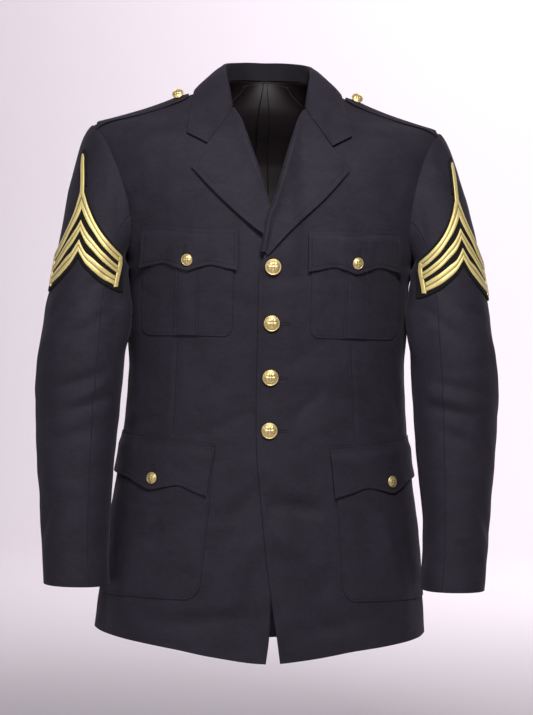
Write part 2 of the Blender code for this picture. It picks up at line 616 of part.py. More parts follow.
def lower_pocket(side, word):
    ways = [0, 0.03, 0.09, 0.22, 0.36, 0.50, 0.64, 0.78, 0.91, 0.97, 1]
    grid = []
    for v in steps(5):
        heights = [mix(rounded(w, -0.6780, 0.09, 0.020), -0.4960, v) for w in ways]
        grid.append([(math.radians(mix(LOWER_INNER[side].bag(z), LOWER_OUTER[1], w)), z) for w, z in zip(ways, heights)])
    sheet_on_body("lower_pocket_" + word, grid, lambda i, j, a, z: BAG_OFF, THIN, "coat_cloth", side)
    grid = []
    for v in (0, 0.4, 0.75, 1):
        row = []
        for w in sorted(set(LOWER_FLAP.at) | {0.65, 0.79, 0.93}):
            z = mix(LOWER_FLAP.bottom(w), LOWER_FLAP.top(w), v)
            row.append((flap_angle(side, w, z), z))
        grid.append(row)
    sheet_on_body("lower_flap_" + word, grid, lambda i, j, a, z: lower_flap_off(z), THIN, "coat_cloth", side)


def button(name, point, normal, radius, side=1):
    """A domed button with a rim, standing on its face's normal."""
    profile = [(0.55, 0.0), (0.96, 0.10), (1.0, 0.20), (0.93, 0.30), (0.86, 0.29), (0.66, 0.42), (0.36, 0.52), (0.0, 0.56)]
    around = 14
    z = normal.normalized()
    x = Vector((1, 0, 0)).cross(z)
    x = x.normalized()
    y = z.cross(x)
    bm = bmesh.new()
    place = lambda p: hang((p.x * side, p.y, p.z))
    rings = [[bm.verts.new(place(point + (x * math.cos(2 * math.pi * k / around) + y * math.sin(2 * math.pi * k / around))
                                 * radius * r + z * radius * h)) for k in range(around)] for r, h in profile[:-1]]
    top = bm.verts.new(place(point + z * radius * profile[-1][1]))
    bm.faces.new(list(reversed(rings[0])))
    for a, b in zip(rings, rings[1:]):
        for k in range(around):
            bm.faces.new([a[k], a[(k + 1) % around], b[(k + 1) % around], b[k]])
    for k in range(around):
        bm.faces.new([rings[-1][k], rings[-1][(k + 1) % around], top])
    add(name, bm, "gold_button")


def chevron_stripe(name, side, high, low, off, reach, tip=None):
    """A stripe between two of the chevron's edge lines; the uppermost one carries the stem and the two end bars."""
    outs = [o for o in CHEVRON.at if o < reach - 0.002] + [reach]
    outs = [-o for o in reversed(outs[1:])] + outs
    lines = [high, low]
    outer, inner = [], []
    rows = 1
    for w in steps(rows):
        outer.append([on_sleeve(o, mix(low(abs(o)), high(abs(o)), w), off + BRAID) for o in outs])
        inner.append([on_sleeve(o, mix(low(abs(o)), high(abs(o)), w), off) for o in outs])
    wall(name, outer, inner, "gold_braid", side)


def chevron(side, word):
    # backing: a field behind the stripes that follows their outline, with a tongue behind the stem
    outs = [0.066, 0.056, 0.042, 0.028, 0.014, 0.0055]
    outs = [-o for o in outs] + [0.0] + list(reversed(outs))
    stem = [-0.140, -0.124, -0.108, -0.0915, -0.0865]
    backs, fronts = [], []
    low_rows = 4
    for r in range(low_rows + 1):
        points = [(o, mix(CHEVRON.back_lo(abs(o)), CHEVRON.back_hi(abs(o)), r / low_rows)) for o in outs]
        fronts.append([on_sleeve(o, z, BACKING_OFF + BACKING) for o, z in points])
        backs.append([on_sleeve(o, z, BACKING_OFF) for o, z in points])
    middle = (5, 7)
    for z in stem[1:]:
        narrow = 1.0 if z > -0.09 else 1.35
        points = [(o if abs(o) < 0.006 else math.copysign(0.006, o), z) for o in outs]
        fronts.append([on_sleeve(o * (0.95 if z < -0.09 else 0.5), z, BACKING_OFF + BACKING) for o, z in points])
        backs.append([on_sleeve(o * (0.95 if z < -0.09 else 0.5), z, BACKING_OFF) for o, z in points])
    wall("chevron_back_" + word, fronts, backs, "chevron_backing", side,
         keep=lambda i, j: i < low_rows or middle[0] <= j < middle[1])

    off = BACKING_OFF + BACKING + 0.0012
    outs = [0.060, 0.0555, 0.042, 0.028, 0.014, 0.0032]
    outs = [-o for o in outs] + [0.0] + list(reversed(outs))
    fronts, backs = [], []
    bar_low = -0.2700
    levels = [("bar", 0.0), ("bar", 0.5), ("low", None), ("high", None)] + [("stem", z) for z in (-0.128, -0.110, -0.094)]
    for kind, value in levels:
        row = []
        for o in outs:
            a = abs(o)
            if kind == "bar":
                shift = 0.005 * (1 - value)
                row.append((math.copysign(a - shift, o) if a > 0.05 else o, mix(bar_low + 0.004, CHEVRON.top_lo(a), value)))
            elif kind == "low":
                row.append((o, CHEVRON.top_lo(a)))
            elif kind == "high":
                row.append((o, CHEVRON.top_hi(a)))
            else:
                width = 0.0031 if value < -0.10 else 0.0008
                row.append((math.copysign(min(a, width), o) if o else 0.0, value))
        fronts.append([on_sleeve(o, z, off + BRAID) for o, z in row])
        backs.append([on_sleeve(o, z, off) for o, z in row])
    wall("chevron_top_" + word, fronts, backs, "gold_braid", side,
         keep=lambda i, j: (i in (0, 1) and j in (0, 11)) or i == 2 or (i > 2 and 5 <= j < 7))
    chevron_stripe("chevron_mid_" + word, side, CHEVRON.mid_hi, CHEVRON.mid_lo, off, 0.0500)
    chevron_stripe("chevron_low_" + word, side, CHEVRON.low_hi, CHEVRON.low_lo, off, 0.0475)


def main():
    for o in list(bpy.data.objects):
        bpy.data.objects.remove(o)
    turns = [math.pi * k / HIGH_ROWS for k in range(2 * HIGH_ROWS + 1)]
    under = turns[5:12]
    top = [t - 2 * math.pi for t in turns[11:17]] + turns[1:6]
    for side, word in ((1, "left"), (-1, "right")):
        front("front_" + word, side)
        back("back_" + word, side)
        sleeve_piece("top_sleeve_" + word, top, side, True, True)
        sleeve_piece("under_sleeve_" + word, under, side, True, True)
        lapel("lapel_" + word, side)
        strap("strap_" + word, side)
        breast_pocket(side, word)
        lower_pocket(side, word)
        chevron(side, word)
        x, y = 0.1190, -0.0100
        e = 1e-3
        n = Vector((-(shoulder_height(x + e, y) - shoulder_height(x - e, y)) / 2 / e,
                    -(shoulder_height(x, y + e) - shoulder_height(x, y - e)) / 2 / e, 1)).normalized()
        button("button_strap_" + word, Vector((x, y, shoulder_height(x, y))) + n * (0.0010 + WALL + 0.0005), n,
               SMALL_BUTTON, side)
        a, z = angle_at(0.1090, -0.2343), -0.2343
        button("button_breast_" + word, on_body(a, z, FLAP_OFF + 0.0013 + THIN + 0.0005), body_normal(a, z),
               SMALL_BUTTON, side)
        z = -0.5217
        a = flap_angle(side, 0.47, z)
        button("button_lower_" + word, on_body(a, z, FLAP_OFF + THIN + 0.0006), body_normal(a, z), SMALL_BUTTON, side)
    collar()
    lining()
    for k, z in enumerate(BUTTON_Z, 1):
        a = angle_at(0.0, z)
        button(f"button_front_{k}", on_body(0.0, z, lap(0.0, z) + 0.0006), body_normal(0.0, z), LARGE_BUTTON)


main()
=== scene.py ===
"""The looks of the dress coat: fine cloth shells on the coat's own surfaces, embroidered stripes, buttons and light."""
import math

import bmesh
import bpy
import numpy as np
from mathutils import Matrix, Vector


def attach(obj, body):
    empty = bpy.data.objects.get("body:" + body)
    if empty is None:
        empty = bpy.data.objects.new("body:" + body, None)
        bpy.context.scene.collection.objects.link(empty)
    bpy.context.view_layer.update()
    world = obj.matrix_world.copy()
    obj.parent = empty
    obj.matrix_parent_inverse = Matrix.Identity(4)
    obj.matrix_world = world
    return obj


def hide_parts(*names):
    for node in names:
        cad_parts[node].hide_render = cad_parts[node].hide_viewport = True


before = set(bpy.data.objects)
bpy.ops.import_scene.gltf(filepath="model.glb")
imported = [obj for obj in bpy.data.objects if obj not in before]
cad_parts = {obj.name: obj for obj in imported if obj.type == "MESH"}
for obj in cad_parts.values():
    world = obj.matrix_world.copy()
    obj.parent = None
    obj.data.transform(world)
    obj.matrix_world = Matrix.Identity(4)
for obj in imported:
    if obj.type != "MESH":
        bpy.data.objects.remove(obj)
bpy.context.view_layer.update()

# ---------------------------------------------------------------- the coat's sizes, in metres
WALL, THIN, BRAID = 0.0015, 0.0011, 0.0009
SEAM = 0.0003
SQUARE = 2.4
ARMPIT_Z, SHOULDER_Z, NECK_Z = -0.232, -0.050, 0.012
ON = 0.0020
LAP = 0.0027
BUTTON_Z = (-0.2427, -0.3152, -0.3859, -0.4554)
LARGE_BUTTON, SMALL_BUTTON = 0.0105, 0.0077


class Table:
    """Smooth curves through the rows of a table with named columns; the first column is the variable."""

    def __init__(self, columns, rows):
        rows = np.array(rows, float)
        self.at = rows[:, 0]
        for i, name in enumerate(columns.split()[1:], 1):
            setattr(self, name, self._curve(rows[:, i]))

    def _curve(self, v):
        at = self.at
        step = np.diff(v) / np.diff(at)
        a, b = step[:-1], step[1:]
        with np.errstate(divide="ignore", invalid="ignore"):
            inner = np.where(a * b <= 0, 0.0, 2 * a * b / (a + b))
        slope = np.concatenate([step[:1], inner, step[-1:]])

        def curve(t):
            t = np.clip(np.asarray(t, float), at[0], at[-1])
            i = np.clip(np.searchsorted(at, t, side="right") - 1, 0, len(at) - 2)
            h = at[i + 1] - at[i]
            u = (t - at[i]) / h
            return ((1 + 2 * u) * (1 - u) ** 2 * v[i] + u * u * (3 - 2 * u) * v[i + 1]
                    + h * u * (1 - u) ** 2 * slope[i] - h * u * u * (1 - u) * slope[i + 1])
        return curve


BODY = Table("z width front back round", [
    (-0.775, 0.2265, 0.141, 0.126, 0.50), (-0.725, 0.2240, 0.138, 0.124, 0.50), (-0.648, 0.2170, 0.133, 0.118, 0.50),
    (-0.588, 0.2100, 0.130, 0.113, 0.50), (-0.525, 0.2000, 0.127, 0.105, 0.50), (-0.460, 0.1925, 0.125, 0.097, 0.50),
    (-0.420, 0.1895, 0.125, 0.095, 0.50), (-0.360, 0.1870, 0.129, 0.099, 0.50), (-0.300, 0.1865, 0.135, 0.106, 0.50),
    (-0.260, 0.1880, 0.138, 0.111, 0.50), (-0.240, 0.1935, 0.138, 0.113, 0.50), (-0.232, 0.1970, 0.138, 0.114, 0.50),
    (-0.222, 0.2010, 0.138, 0.115, 0.50),
    (-0.194, 0.2090, 0.136, 0.117, 0.50), (-0.160, 0.2200, 0.133, 0.118, 0.50), (-0.126, 0.2320, 0.128, 0.118, 0.52),
    (-0.090, 0.2440, 0.118, 0.114, 0.57), (-0.070, 0.2480, 0.109, 0.107, 0.64), (-0.058, 0.2450, 0.099, 0.101, 0.69),
    (-0.050, 0.2340, 0.089, 0.095, 0.72), (-0.041, 0.2050, 0.075, 0.087, 0.74), (-0.0275, 0.1650, 0.058, 0.080, 0.75),
    (-0.012, 0.1230, 0.045, 0.076, 0.75), (-0.002, 0.0950, 0.040, 0.076, 0.73), (0.012, 0.0680, 0.036, 0.077, 0.66),
    (0.019, 0.0580, 0.034, 0.078, 0.60), (0.0245, 0.0500, 0.032, 0.078, 0.55)])
ARMHOLE = Table("z front back", [
    (ARMPIT_Z, 0.1970, 0.1970), (-0.215, 0.1875, 0.1940), (-0.194, 0.1850, 0.1945), (-0.163, 0.1880, 0.1985),
    (-0.126, 0.1966, 0.2045), (-0.0917, 0.2087, 0.2145), (-0.0653, 0.2220, 0.2265), (-0.058, 0.2275, 0.2310),
    (SHOULDER_Z, 0.2340, 0.2340)])
FRONT_EDGE = Table("z over under", [
    (-0.7586, 0.0194, -0.0010), (-0.720, 0.0138, -0.0050), (-0.677, 0.0068, -0.0060), (-0.623, -0.0010, -0.0100),
    (-0.560, -0.0080, -0.0140), (-0.480, -0.0160, -0.0175), (-0.420, -0.0178, -0.0180), (-0.250, -0.0180, -0.0180),
    (-0.228, -0.0118, -0.0118), (-0.2056, -0.0080, -0.0080), (-0.176, -0.0020, -0.0020),
    (-0.1645, 0.0036, 0.0036), (-0.1357, 0.0140, 0.0140), (-0.0893, 0.0292, 0.0292),
    (-0.066, 0.0368, 0.0368), (-0.0465, 0.0435, 0.0435), (-0.034, 0.0500, 0.0500), (-0.022, 0.0550, 0.0550),
    (-0.010, 0.0610, 0.0610), (0.004, 0.0660, 0.0660), (NECK_Z, 0.0680, 0.0680)])
HEM = Table("degrees z", [(-10, -0.7583), (0, -0.7580), (18, -0.7505), (32, -0.7420), (49, -0.7360), (68, -0.7315),
                          (90, -0.7280), (120, -0.7360), (150, -0.7500), (180, -0.7570)])
BACK_NECK = Table("x z", [(0.0, 0.0245), (0.030, 0.0235), (0.050, 0.0190), (0.060, 0.0155), (0.068, NECK_Z)])
SLEEVE = Table("z outer inner middle depth", [
    (-0.663, 0.2915, 0.2045, -0.080, 0.050), (-0.600, 0.2970, 0.2065, -0.071, 0.053),
    (-0.546, 0.3005, 0.2050, -0.064, 0.056), (-0.500, 0.3045, 0.2020, -0.058, 0.058),
    (-0.460, 0.3075, 0.1985, -0.053, 0.060), (-0.407, 0.3090, 0.1945, -0.047, 0.064),
    (-0.354, 0.3055, 0.1915, -0.040, 0.068), (-0.300, 0.2990, 0.1885, -0.030, 0.072)])
SLEEVE_TOP_Z, CUFF_Z = -0.300, -0.663
COLLAR = Table("way seam_x seam_y seam_z fold_x fold_y fold_z edge_x edge_y edge_z", [
    (0.00, 0.0000, 0.0780, 0.0249, 0.0000, 0.0840, 0.0480, 0.0000, 0.1010, 0.004),
    (0.15, 0.0220, 0.0710, 0.0244, 0.0240, 0.0785, 0.0475, 0.0280, 0.0970, 0.003),
    (0.30, 0.0430, 0.0500, 0.0214, 0.0460, 0.0600, 0.0440, 0.0580, 0.0820, 0.001),
    (0.40, 0.0570, 0.0295, 0.0172, 0.0555, 0.0400, 0.0390, 0.0800, 0.0580, -0.001),
    (0.50, 0.0680, 0.0000, 0.0126, 0.0585, 0.0150, 0.0325, 0.0945, 0.0250, -0.002),
    (0.65, 0.0662, -0.0200, 0.0052, 0.0575, -0.0120, 0.0215, 0.0990, -0.0060, -0.010),
    (0.80, 0.0612, -0.0360, -0.0086, 0.0545, -0.0340, 0.0050, 0.1010, -0.0330, -0.030),
    (0.90, 0.0552, -0.0475, -0.0205, 0.0515, -0.0500, -0.0130, 0.1050, -0.0640, -0.055),
    (1.00, 0.0502, -0.0640, -0.0330, 0.0485, -0.0670, -0.0335, 0.1080, -0.0960, -0.069)])
GORGE_TOP, NOTCH, COLLAR_POINT, LAPEL_POINT = (0.0480, -0.0335), (0.0810, -0.0830), (0.1080, -0.0690), (0.1030, -0.1146)
LAPEL_LOW = {1: (-0.0072, -0.2280, -0.2240), -1: (-0.004, -0.2130, -0.2080)}
LAPEL_EDGE = {s: Table("way x z", [(0.0, low[0], low[1]), (0.25, 0.0290, -0.1890), (0.60, 0.0710, -0.1497),
                                   (1.0, LAPEL_POINT[0], LAPEL_POINT[1])]) for s, low in LAPEL_LOW.items()}
BREAST_FLAP = Table("way top bottom", [(0.0, -0.1950, -0.2478), (0.14, -0.1948, -0.2447), (0.28, -0.1944, -0.2412),
                                       (0.40, -0.1938, -0.2446), (0.51, -0.1930, -0.2486), (0.62, -0.1922, -0.2440),
                                       (0.76, -0.1912, -0.2387), (0.88, -0.1902, -0.2410), (1.0, -0.1890, -0.2442)])
LOWER_FLAP = Table("way top bottom", [(0.0, -0.4755, -0.5425), (0.12, -0.4742, -0.5365), (0.25, -0.4722, -0.5296),
                                      (0.36, -0.4702, -0.5330), (0.47, -0.4682, -0.5370), (0.58, -0.4660, -0.5312),
                                      (0.72, -0.4638, -0.5222), (0.86, -0.4622, -0.5195), (1.0, -0.4615, -0.5172)])
BREAST_X, BREAST_BAG_X, PLEAT_X = (0.0455, 0.1700), (0.0506, 0.1680), (0.0945, 0.1250)
LOWER_INNER = {1: Table("z flap bag", [(-0.680, 25.5, 27.7), (-0.540, 25.3, 26.4), (-0.470, 24.1, 26.1)]),
               -1: Table("z flap bag", [(-0.680, 23.2, 23.5), (-0.540, 23.0, 21.6), (-0.470, 20.7, 21.2)])}
LOWER_OUTER, LOWER_POINT = (88.0, 86.0), {1: 0.0, -1: 0.08}
CHEVRON_MIDDLE = Table("z x", [(-0.300, 0.2570), (-0.2226, 0.2532), (-0.168, 0.2485), (-0.092, 0.2457)])
CHEVRON = Table("out top_hi top_lo mid_hi mid_lo low_hi low_lo back_hi back_lo", [
    (0.000, -0.1380, -0.1685, -0.1842, -0.1979, -0.2103, -0.2253, -0.1280, -0.2330),
    (0.004, -0.1480, -0.1780, -0.1915, -0.2056, -0.2174, -0.2322, -0.1400, -0.2395),
    (0.010, -0.1660, -0.1890, -0.2005, -0.2155, -0.2270, -0.2414, -0.1600, -0.2475),
    (0.018, -0.1845, -0.2007, -0.2102, -0.2244, -0.2336, -0.2494, -0.1790, -0.2550),
    (0.031, -0.2040, -0.2186, -0.2254, -0.2380, -0.2448, -0.2594, -0.1990, -0.2655),
    (0.046, -0.2195, -0.2320, -0.2378, -0.2483, -0.2541, -0.2668, -0.2148, -0.2730),
    (0.060, -0.2290, -0.2402, -0.2458, -0.2552, -0.2608, -0.2720, -0.2245, -0.2780)])
STRAP_X = (0.1060, 0.2290)
BACKING, BACKING_OFF = 0.0008, 0.0018
BAG_OFF = 0.0010
PLEAT_OFF = BAG_OFF + THIN + 0.0004
FLAP_OFF = BAG_OFF + THIN + 0.0010


# ---------------------------------------------------------------- the coat's surfaces, on arrays
def smooth(t, start, end):
    t = np.clip((np.asarray(t, float) - start) / (end - start), 0.0, 1.0)
    return t * t * (3 - 2 * t)


def mix(a, b, t):
    return a + (b - a) * t


def unit(v):
    return v / np.maximum(np.linalg.norm(v, axis=-1, keepdims=True), 1e-12)


def pts(x, y, z):
    return np.stack(np.broadcast_arrays(x, y, z), axis=-1).astype(float)


def lean(z):
    return -0.006 * smooth(z, -0.22, -0.06)


def body(a, z):
    s = np.sin(a)
    depth = np.where(np.cos(a) >= 0, BODY.front(z), -BODY.back(z))
    return pts(BODY.width(z) * s, -depth * np.maximum(1 - np.abs(s) ** SQUARE, 0.0) ** BODY.round(z), z)


def body_normal(a, z):
    e, g = 2e-3, 4e-4
    return unit(np.cross(body(a + e, z) - body(a - e, z), body(a, z + g) - body(a, z - g)))


def angle_at(x, z, behind=False):
    a = np.arcsin(np.clip(x / BODY.width(z), -1, 1))
    return math.pi - a if behind else a


def shoulder_height(x, y):
    x, y = np.broadcast_arrays(np.abs(np.asarray(x, float)), np.asarray(y, float))

    def inside(z):
        depth = np.where(y < 0, BODY.front(z), BODY.back(z))
        w = BODY.width(z)
        return (x < w) & (np.abs(y) < depth * np.maximum(1 - (x / w) ** SQUARE, 0) ** BODY.round(z))
    levels = np.arange(0.0245, -0.16, -0.002)
    lo = np.full(x.shape, -0.16)
    found = np.zeros(x.shape, bool)
    for z in levels:
        now = inside(np.full(x.shape, z)) & ~found
        lo[now] = z
        found |= now
    hi = lo + 0.002
    for _ in range(18):
        z = (lo + hi) / 2
        k = inside(z)
        lo, hi = np.where(k, z, lo), np.where(k, hi, z)
    return lo


def lap(x, z):
    return (LAP + 0.0036 * smooth(z, -0.262, -0.222)) * (1 - smooth(x, 0.020, 0.044))


def armhole(turn):
    z = mix(ARMPIT_Z, SHOULDER_Z, (1 + np.cos(turn)) / 2)
    front = np.sin(turn) >= 0
    x = np.where(front, ARMHOLE.front(z), ARMHOLE.back(z))
    a = angle_at(x, z)
    a = np.where(front, a, math.pi - a)
    return np.where(np.abs(np.sin(turn)) < 1e-6, math.pi / 2, a), z


def sleeve_ring(turn, z):
    out, inn = SLEEVE.outer(z), SLEEVE.inner(z)
    c, s = np.cos(turn), np.sin(turn)
    return pts((out + inn) / 2 + (out - inn) / 2 * np.sign(c) * np.abs(c) ** 0.93,
               SLEEVE.middle(z) - SLEEVE.depth(z) * np.sign(s) * np.abs(s) ** 0.93, z)


def sleeve(turn, down):
    turn, down = np.broadcast_arrays(np.asarray(turn, float), np.asarray(down, float))
    low = sleeve_ring(turn, mix(SLEEVE_TOP_Z, CUFF_Z, np.maximum(down - 1, 0)))
    start, end = body(*armhole(turn)), sleeve_ring(turn, np.full(turn.shape, SLEEVE_TOP_Z))
    w = (1 + np.cos(turn)) / 2
    s = np.sin(turn)
    a = start + pts(0.025 * w ** 0.35 + 0.008 * (1 - w) ** 2, -0.006 * s * np.abs(s), -0.003 - 0.022 * (1 - w) ** 2)
    b = end + pts(-0.015 * w + 0.0025 * (1 - w), 0.012 * w + 0.010 * (1 - w), 0.085 * w + 0.026 * (1 - w))
    t = np.minimum(down, 1)[..., None]
    u = 1 - t
    high = start * u ** 3 + a * 3 * u * u * t + b * 3 * u * t * t + end * t ** 3
    return np.where(down[..., None] >= 1, low, high)


def sleeve_normal(turn, down):
    e, g = 4e-3, 4e-3
    turn, down = np.broadcast_arrays(np.asarray(turn, float), np.asarray(down, float))
    lo, hi = np.maximum(down - g, 0.0), np.minimum(down + g, 2.0)
    return unit(np.cross(sleeve(turn + e, down) - sleeve(turn - e, down), sleeve(turn, hi) - sleeve(turn, lo)))


LEVEL_Z = np.linspace(-0.300, -0.070, 116)
LEVEL_TURN = np.radians(np.linspace(150, -100, 161))


def make_levels():
    """The sleeve cut at many heights: for each, its turn and down from the front round the outer side to the back."""
    turn = np.broadcast_to(LEVEL_TURN[None, :], (len(LEVEL_Z), len(LEVEL_TURN)))
    z = np.broadcast_to(LEVEL_Z[:, None], turn.shape)
    lo, hi = np.zeros(turn.shape), np.full(turn.shape, 1.9)
    for _ in range(26):
        m = (lo + hi) / 2
        k = sleeve(turn, m)[..., 2] > z
        lo, hi = np.where(k, m, lo), np.where(k, hi, m)
    return turn, lo, sleeve(turn, lo)


LEVELS = make_levels()


# ---------------------------------------------------------------- materials
def nodes_of(m):
    m.use_nodes = True
    t = m.node_tree
    return t, t.nodes["Principled BSDF"]


def add_node(tree, kind, **values):
    n = tree.nodes.new(kind)
    for k, v in values.items():
        setattr(n, k, v)
    return n


def cloth_material(name, dark, light, rough, sheen, weave, bump=0.5, sheen_tint=(0.55, 0.52, 0.62), mottle=26.0, edge=None):
    """Woven wool: fine twill lines and slub as colour and bump, crumple as bump and as painted shade in its hollows
    with painted light on its ridges, a soft mottled shade, and a nap.
    """
    m = bpy.data.materials.new(name)
    t, b = nodes_of(m)
    co = add_node(t, "ShaderNodeTexCoord")

    def noise(scale, detail, stretch=None, rough_=0.5):
        n = add_node(t, "ShaderNodeTexNoise")
        n.inputs["Scale"].default_value = scale
        n.inputs["Detail"].default_value = detail
        n.inputs["Roughness"].default_value = rough_
        if stretch:
            k = add_node(t, "ShaderNodeMapping")
            k.inputs["Scale"].default_value = stretch
            t.links.new(co.outputs["Object"], k.inputs["Vector"])
            t.links.new(k.outputs[0], n.inputs["Vector"])
        else:
            t.links.new(co.outputs["Object"], n.inputs["Vector"])
        return n.outputs[0]

    def combine(x, share_x, y, share_y):
        k = add_node(t, "ShaderNodeMath", operation="MULTIPLY")
        t.links.new(y, k.inputs[0])
        k.inputs[1].default_value = share_y
        j = add_node(t, "ShaderNodeMath", operation="MULTIPLY_ADD")
        t.links.new(x, j.inputs[0])
        j.inputs[1].default_value = share_x
        t.links.new(k.outputs[0], j.inputs[2])
        return j.outputs[0]

    warp = noise(900.0, 2, (1.0, 1.0, 0.12))
    weft = noise(900.0, 2, (0.12, 0.12, 1.0))
    twill = add_node(t, "ShaderNodeTexWave", wave_type="BANDS", bands_direction="DIAGONAL")
    twill.inputs["Scale"].default_value = weave
    twill.inputs["Distortion"].default_value = 1.2
    twill.inputs["Detail"].default_value = 1.0
    t.links.new(co.outputs["Object"], twill.inputs["Vector"])
    threads = combine(combine(warp, 0.5, weft, 0.5), 1.0, twill.outputs["Fac"], 0.35)
    crumple_and_shade = combine(noise(60.0, 4, (0.55, 0.55, 1.0), 0.6), 0.6, noise(210.0, 3, (0.6, 0.6, 1.0), 0.6), 0.4)
    broad = noise(mottle, 4)
    # the crumple's share of this tone is painted shade and light: darker colour in the crumple's hollows, lighter on
    # its ridges
    tone = combine(combine(threads, 0.40, broad, 0.30), 1.0, crumple_and_shade, 0.42)
    ramp = add_node(t, "ShaderNodeValToRGB")
    ramp.color_ramp.elements[0].position = 0.44
    ramp.color_ramp.elements[0].color = (*dark, 1)
    ramp.color_ramp.elements[1].position = 0.76
    ramp.color_ramp.elements[1].color = (*light, 1)
    t.links.new(tone, ramp.inputs[0])
    t.links.new(ramp.outputs[0], b.inputs["Base Color"])
    coarse = add_node(t, "ShaderNodeBump")
    coarse.inputs["Strength"].default_value = 0.55
    coarse.inputs["Distance"].default_value = 0.0016
    t.links.new(crumple_and_shade, coarse.inputs["Height"])
    fine = add_node(t, "ShaderNodeBump")
    fine.inputs["Strength"].default_value = bump
    fine.inputs["Distance"].default_value = 0.0004
    t.links.new(threads, fine.inputs["Height"])
    t.links.new(coarse.outputs[0], fine.inputs["Normal"])
    t.links.new(fine.outputs[0], b.inputs["Normal"])
    b.inputs["Roughness"].default_value = rough
    b.inputs["Specular IOR Level"].default_value = 0.25
    b.inputs["Sheen Weight"].default_value = sheen
    b.inputs["Sheen Roughness"].default_value = 0.45
    b.inputs["Sheen Tint"].default_value = (*sheen_tint, 1)
    return m


def satin_material():
    m = bpy.data.materials.new("lining_satin")
    t, b = nodes_of(m)
    co = add_node(t, "ShaderNodeTexCoord")
    stretch = add_node(t, "ShaderNodeMapping")
    stretch.inputs["Scale"].default_value = (1.0, 1.0, 0.05)
    streak = add_node(t, "ShaderNodeTexNoise")
    streak.inputs["Scale"].default_value = 260.0
    streak.inputs["Detail"].default_value = 3
    t.links.new(co.outputs["Object"], stretch.inputs["Vector"])
    t.links.new(stretch.outputs[0], streak.inputs["Vector"])
    ramp = add_node(t, "ShaderNodeValToRGB")
    ramp.color_ramp.elements[0].color = (0.0060, 0.0038, 0.0043, 1)
    ramp.color_ramp.elements[1].color = (0.0140, 0.0092, 0.0104, 1)
    t.links.new(streak.outputs[0], ramp.inputs[0])
    t.links.new(ramp.outputs[0], b.inputs["Base Color"])
    bmp = add_node(t, "ShaderNodeBump")
    bmp.inputs["Strength"].default_value = 0.2
    bmp.inputs["Distance"].default_value = 0.0003
    t.links.new(streak.outputs[0], bmp.inputs["Height"])
    t.links.new(bmp.outputs[0], b.inputs["Normal"])
    b.inputs["Roughness"].default_value = 0.55
    b.inputs["Specular IOR Level"].default_value = 0.30
    return m


def braid_material():
    """Gold thread: satin stitches across the stripe, in shades from bronze to pale gold, with painted shade along the
    stripe's centre groove.
    """
    m = bpy.data.materials.new("gold_thread")
    t, b = nodes_of(m)
    uv = add_node(t, "ShaderNodeUVMap")
    thread = add_node(t, "ShaderNodeTexWave", wave_type="BANDS", bands_direction="X")
    thread.inputs["Scale"].default_value = 210.0
    thread.inputs["Distortion"].default_value = 0.8
    thread.inputs["Detail"].default_value = 1.0
    spot = add_node(t, "ShaderNodeTexNoise")
    spot.inputs["Scale"].default_value = 500.0
    spot.inputs["Detail"].default_value = 2.0
    co = add_node(t, "ShaderNodeTexCoord")
    t.links.new(uv.outputs[0], thread.inputs["Vector"])
    t.links.new(co.outputs["Object"], spot.inputs["Vector"])
    both = add_node(t, "ShaderNodeMath", operation="MULTIPLY_ADD")
    t.links.new(spot.outputs[0], both.inputs[0])
    both.inputs[1].default_value = 0.7
    half = add_node(t, "ShaderNodeMath", operation="MULTIPLY")
    half.inputs[1].default_value = 0.45
    t.links.new(thread.outputs["Fac"], half.inputs[0])
    t.links.new(half.outputs[0], both.inputs[2])
    ramp = add_node(t, "ShaderNodeValToRGB")
    ramp.color_ramp.elements[0].position = 0.10
    ramp.color_ramp.elements[0].color = (0.60, 0.40, 0.075, 1)
    ramp.color_ramp.elements[1].position = 0.78
    ramp.color_ramp.elements[1].color = (1.0, 0.86, 0.36, 1)
    t.links.new(both.outputs[0], ramp.inputs[0])
    # painted shade: the colour is scaled down near the UVs' middle line, the stripe's centre groove
    parts = add_node(t, "ShaderNodeSeparateXYZ")
    t.links.new(uv.outputs[0], parts.inputs[0])
    away = add_node(t, "ShaderNodeMath", operation="ABSOLUTE")
    t.links.new(parts.outputs["Y"], away.inputs[0])
    painted_groove_shade = add_node(t, "ShaderNodeMapRange")
    painted_groove_shade.inputs["From Min"].default_value = 0.00025
    painted_groove_shade.inputs["From Max"].default_value = 0.00080
    painted_groove_shade.inputs["To Min"].default_value = 0.30
    painted_groove_shade.inputs["To Max"].default_value = 1.0
    t.links.new(away.outputs[0], painted_groove_shade.inputs["Value"])
    shade = add_node(t, "ShaderNodeVectorMath", operation="SCALE")
    t.links.new(ramp.outputs[0], shade.inputs[0])
    t.links.new(painted_groove_shade.outputs[0], shade.inputs["Scale"])
    t.links.new(shade.outputs[0], b.inputs["Base Color"])
    bmp = add_node(t, "ShaderNodeBump")
    bmp.inputs["Strength"].default_value = 0.6
    bmp.inputs["Distance"].default_value = 0.0003
    t.links.new(both.outputs[0], bmp.inputs["Height"])
    t.links.new(bmp.outputs[0], b.inputs["Normal"])
    b.inputs["Roughness"].default_value = 0.42
    b.inputs["Metallic"].default_value = 0.35
    b.inputs["Sheen Weight"].default_value = 0.2
    return m


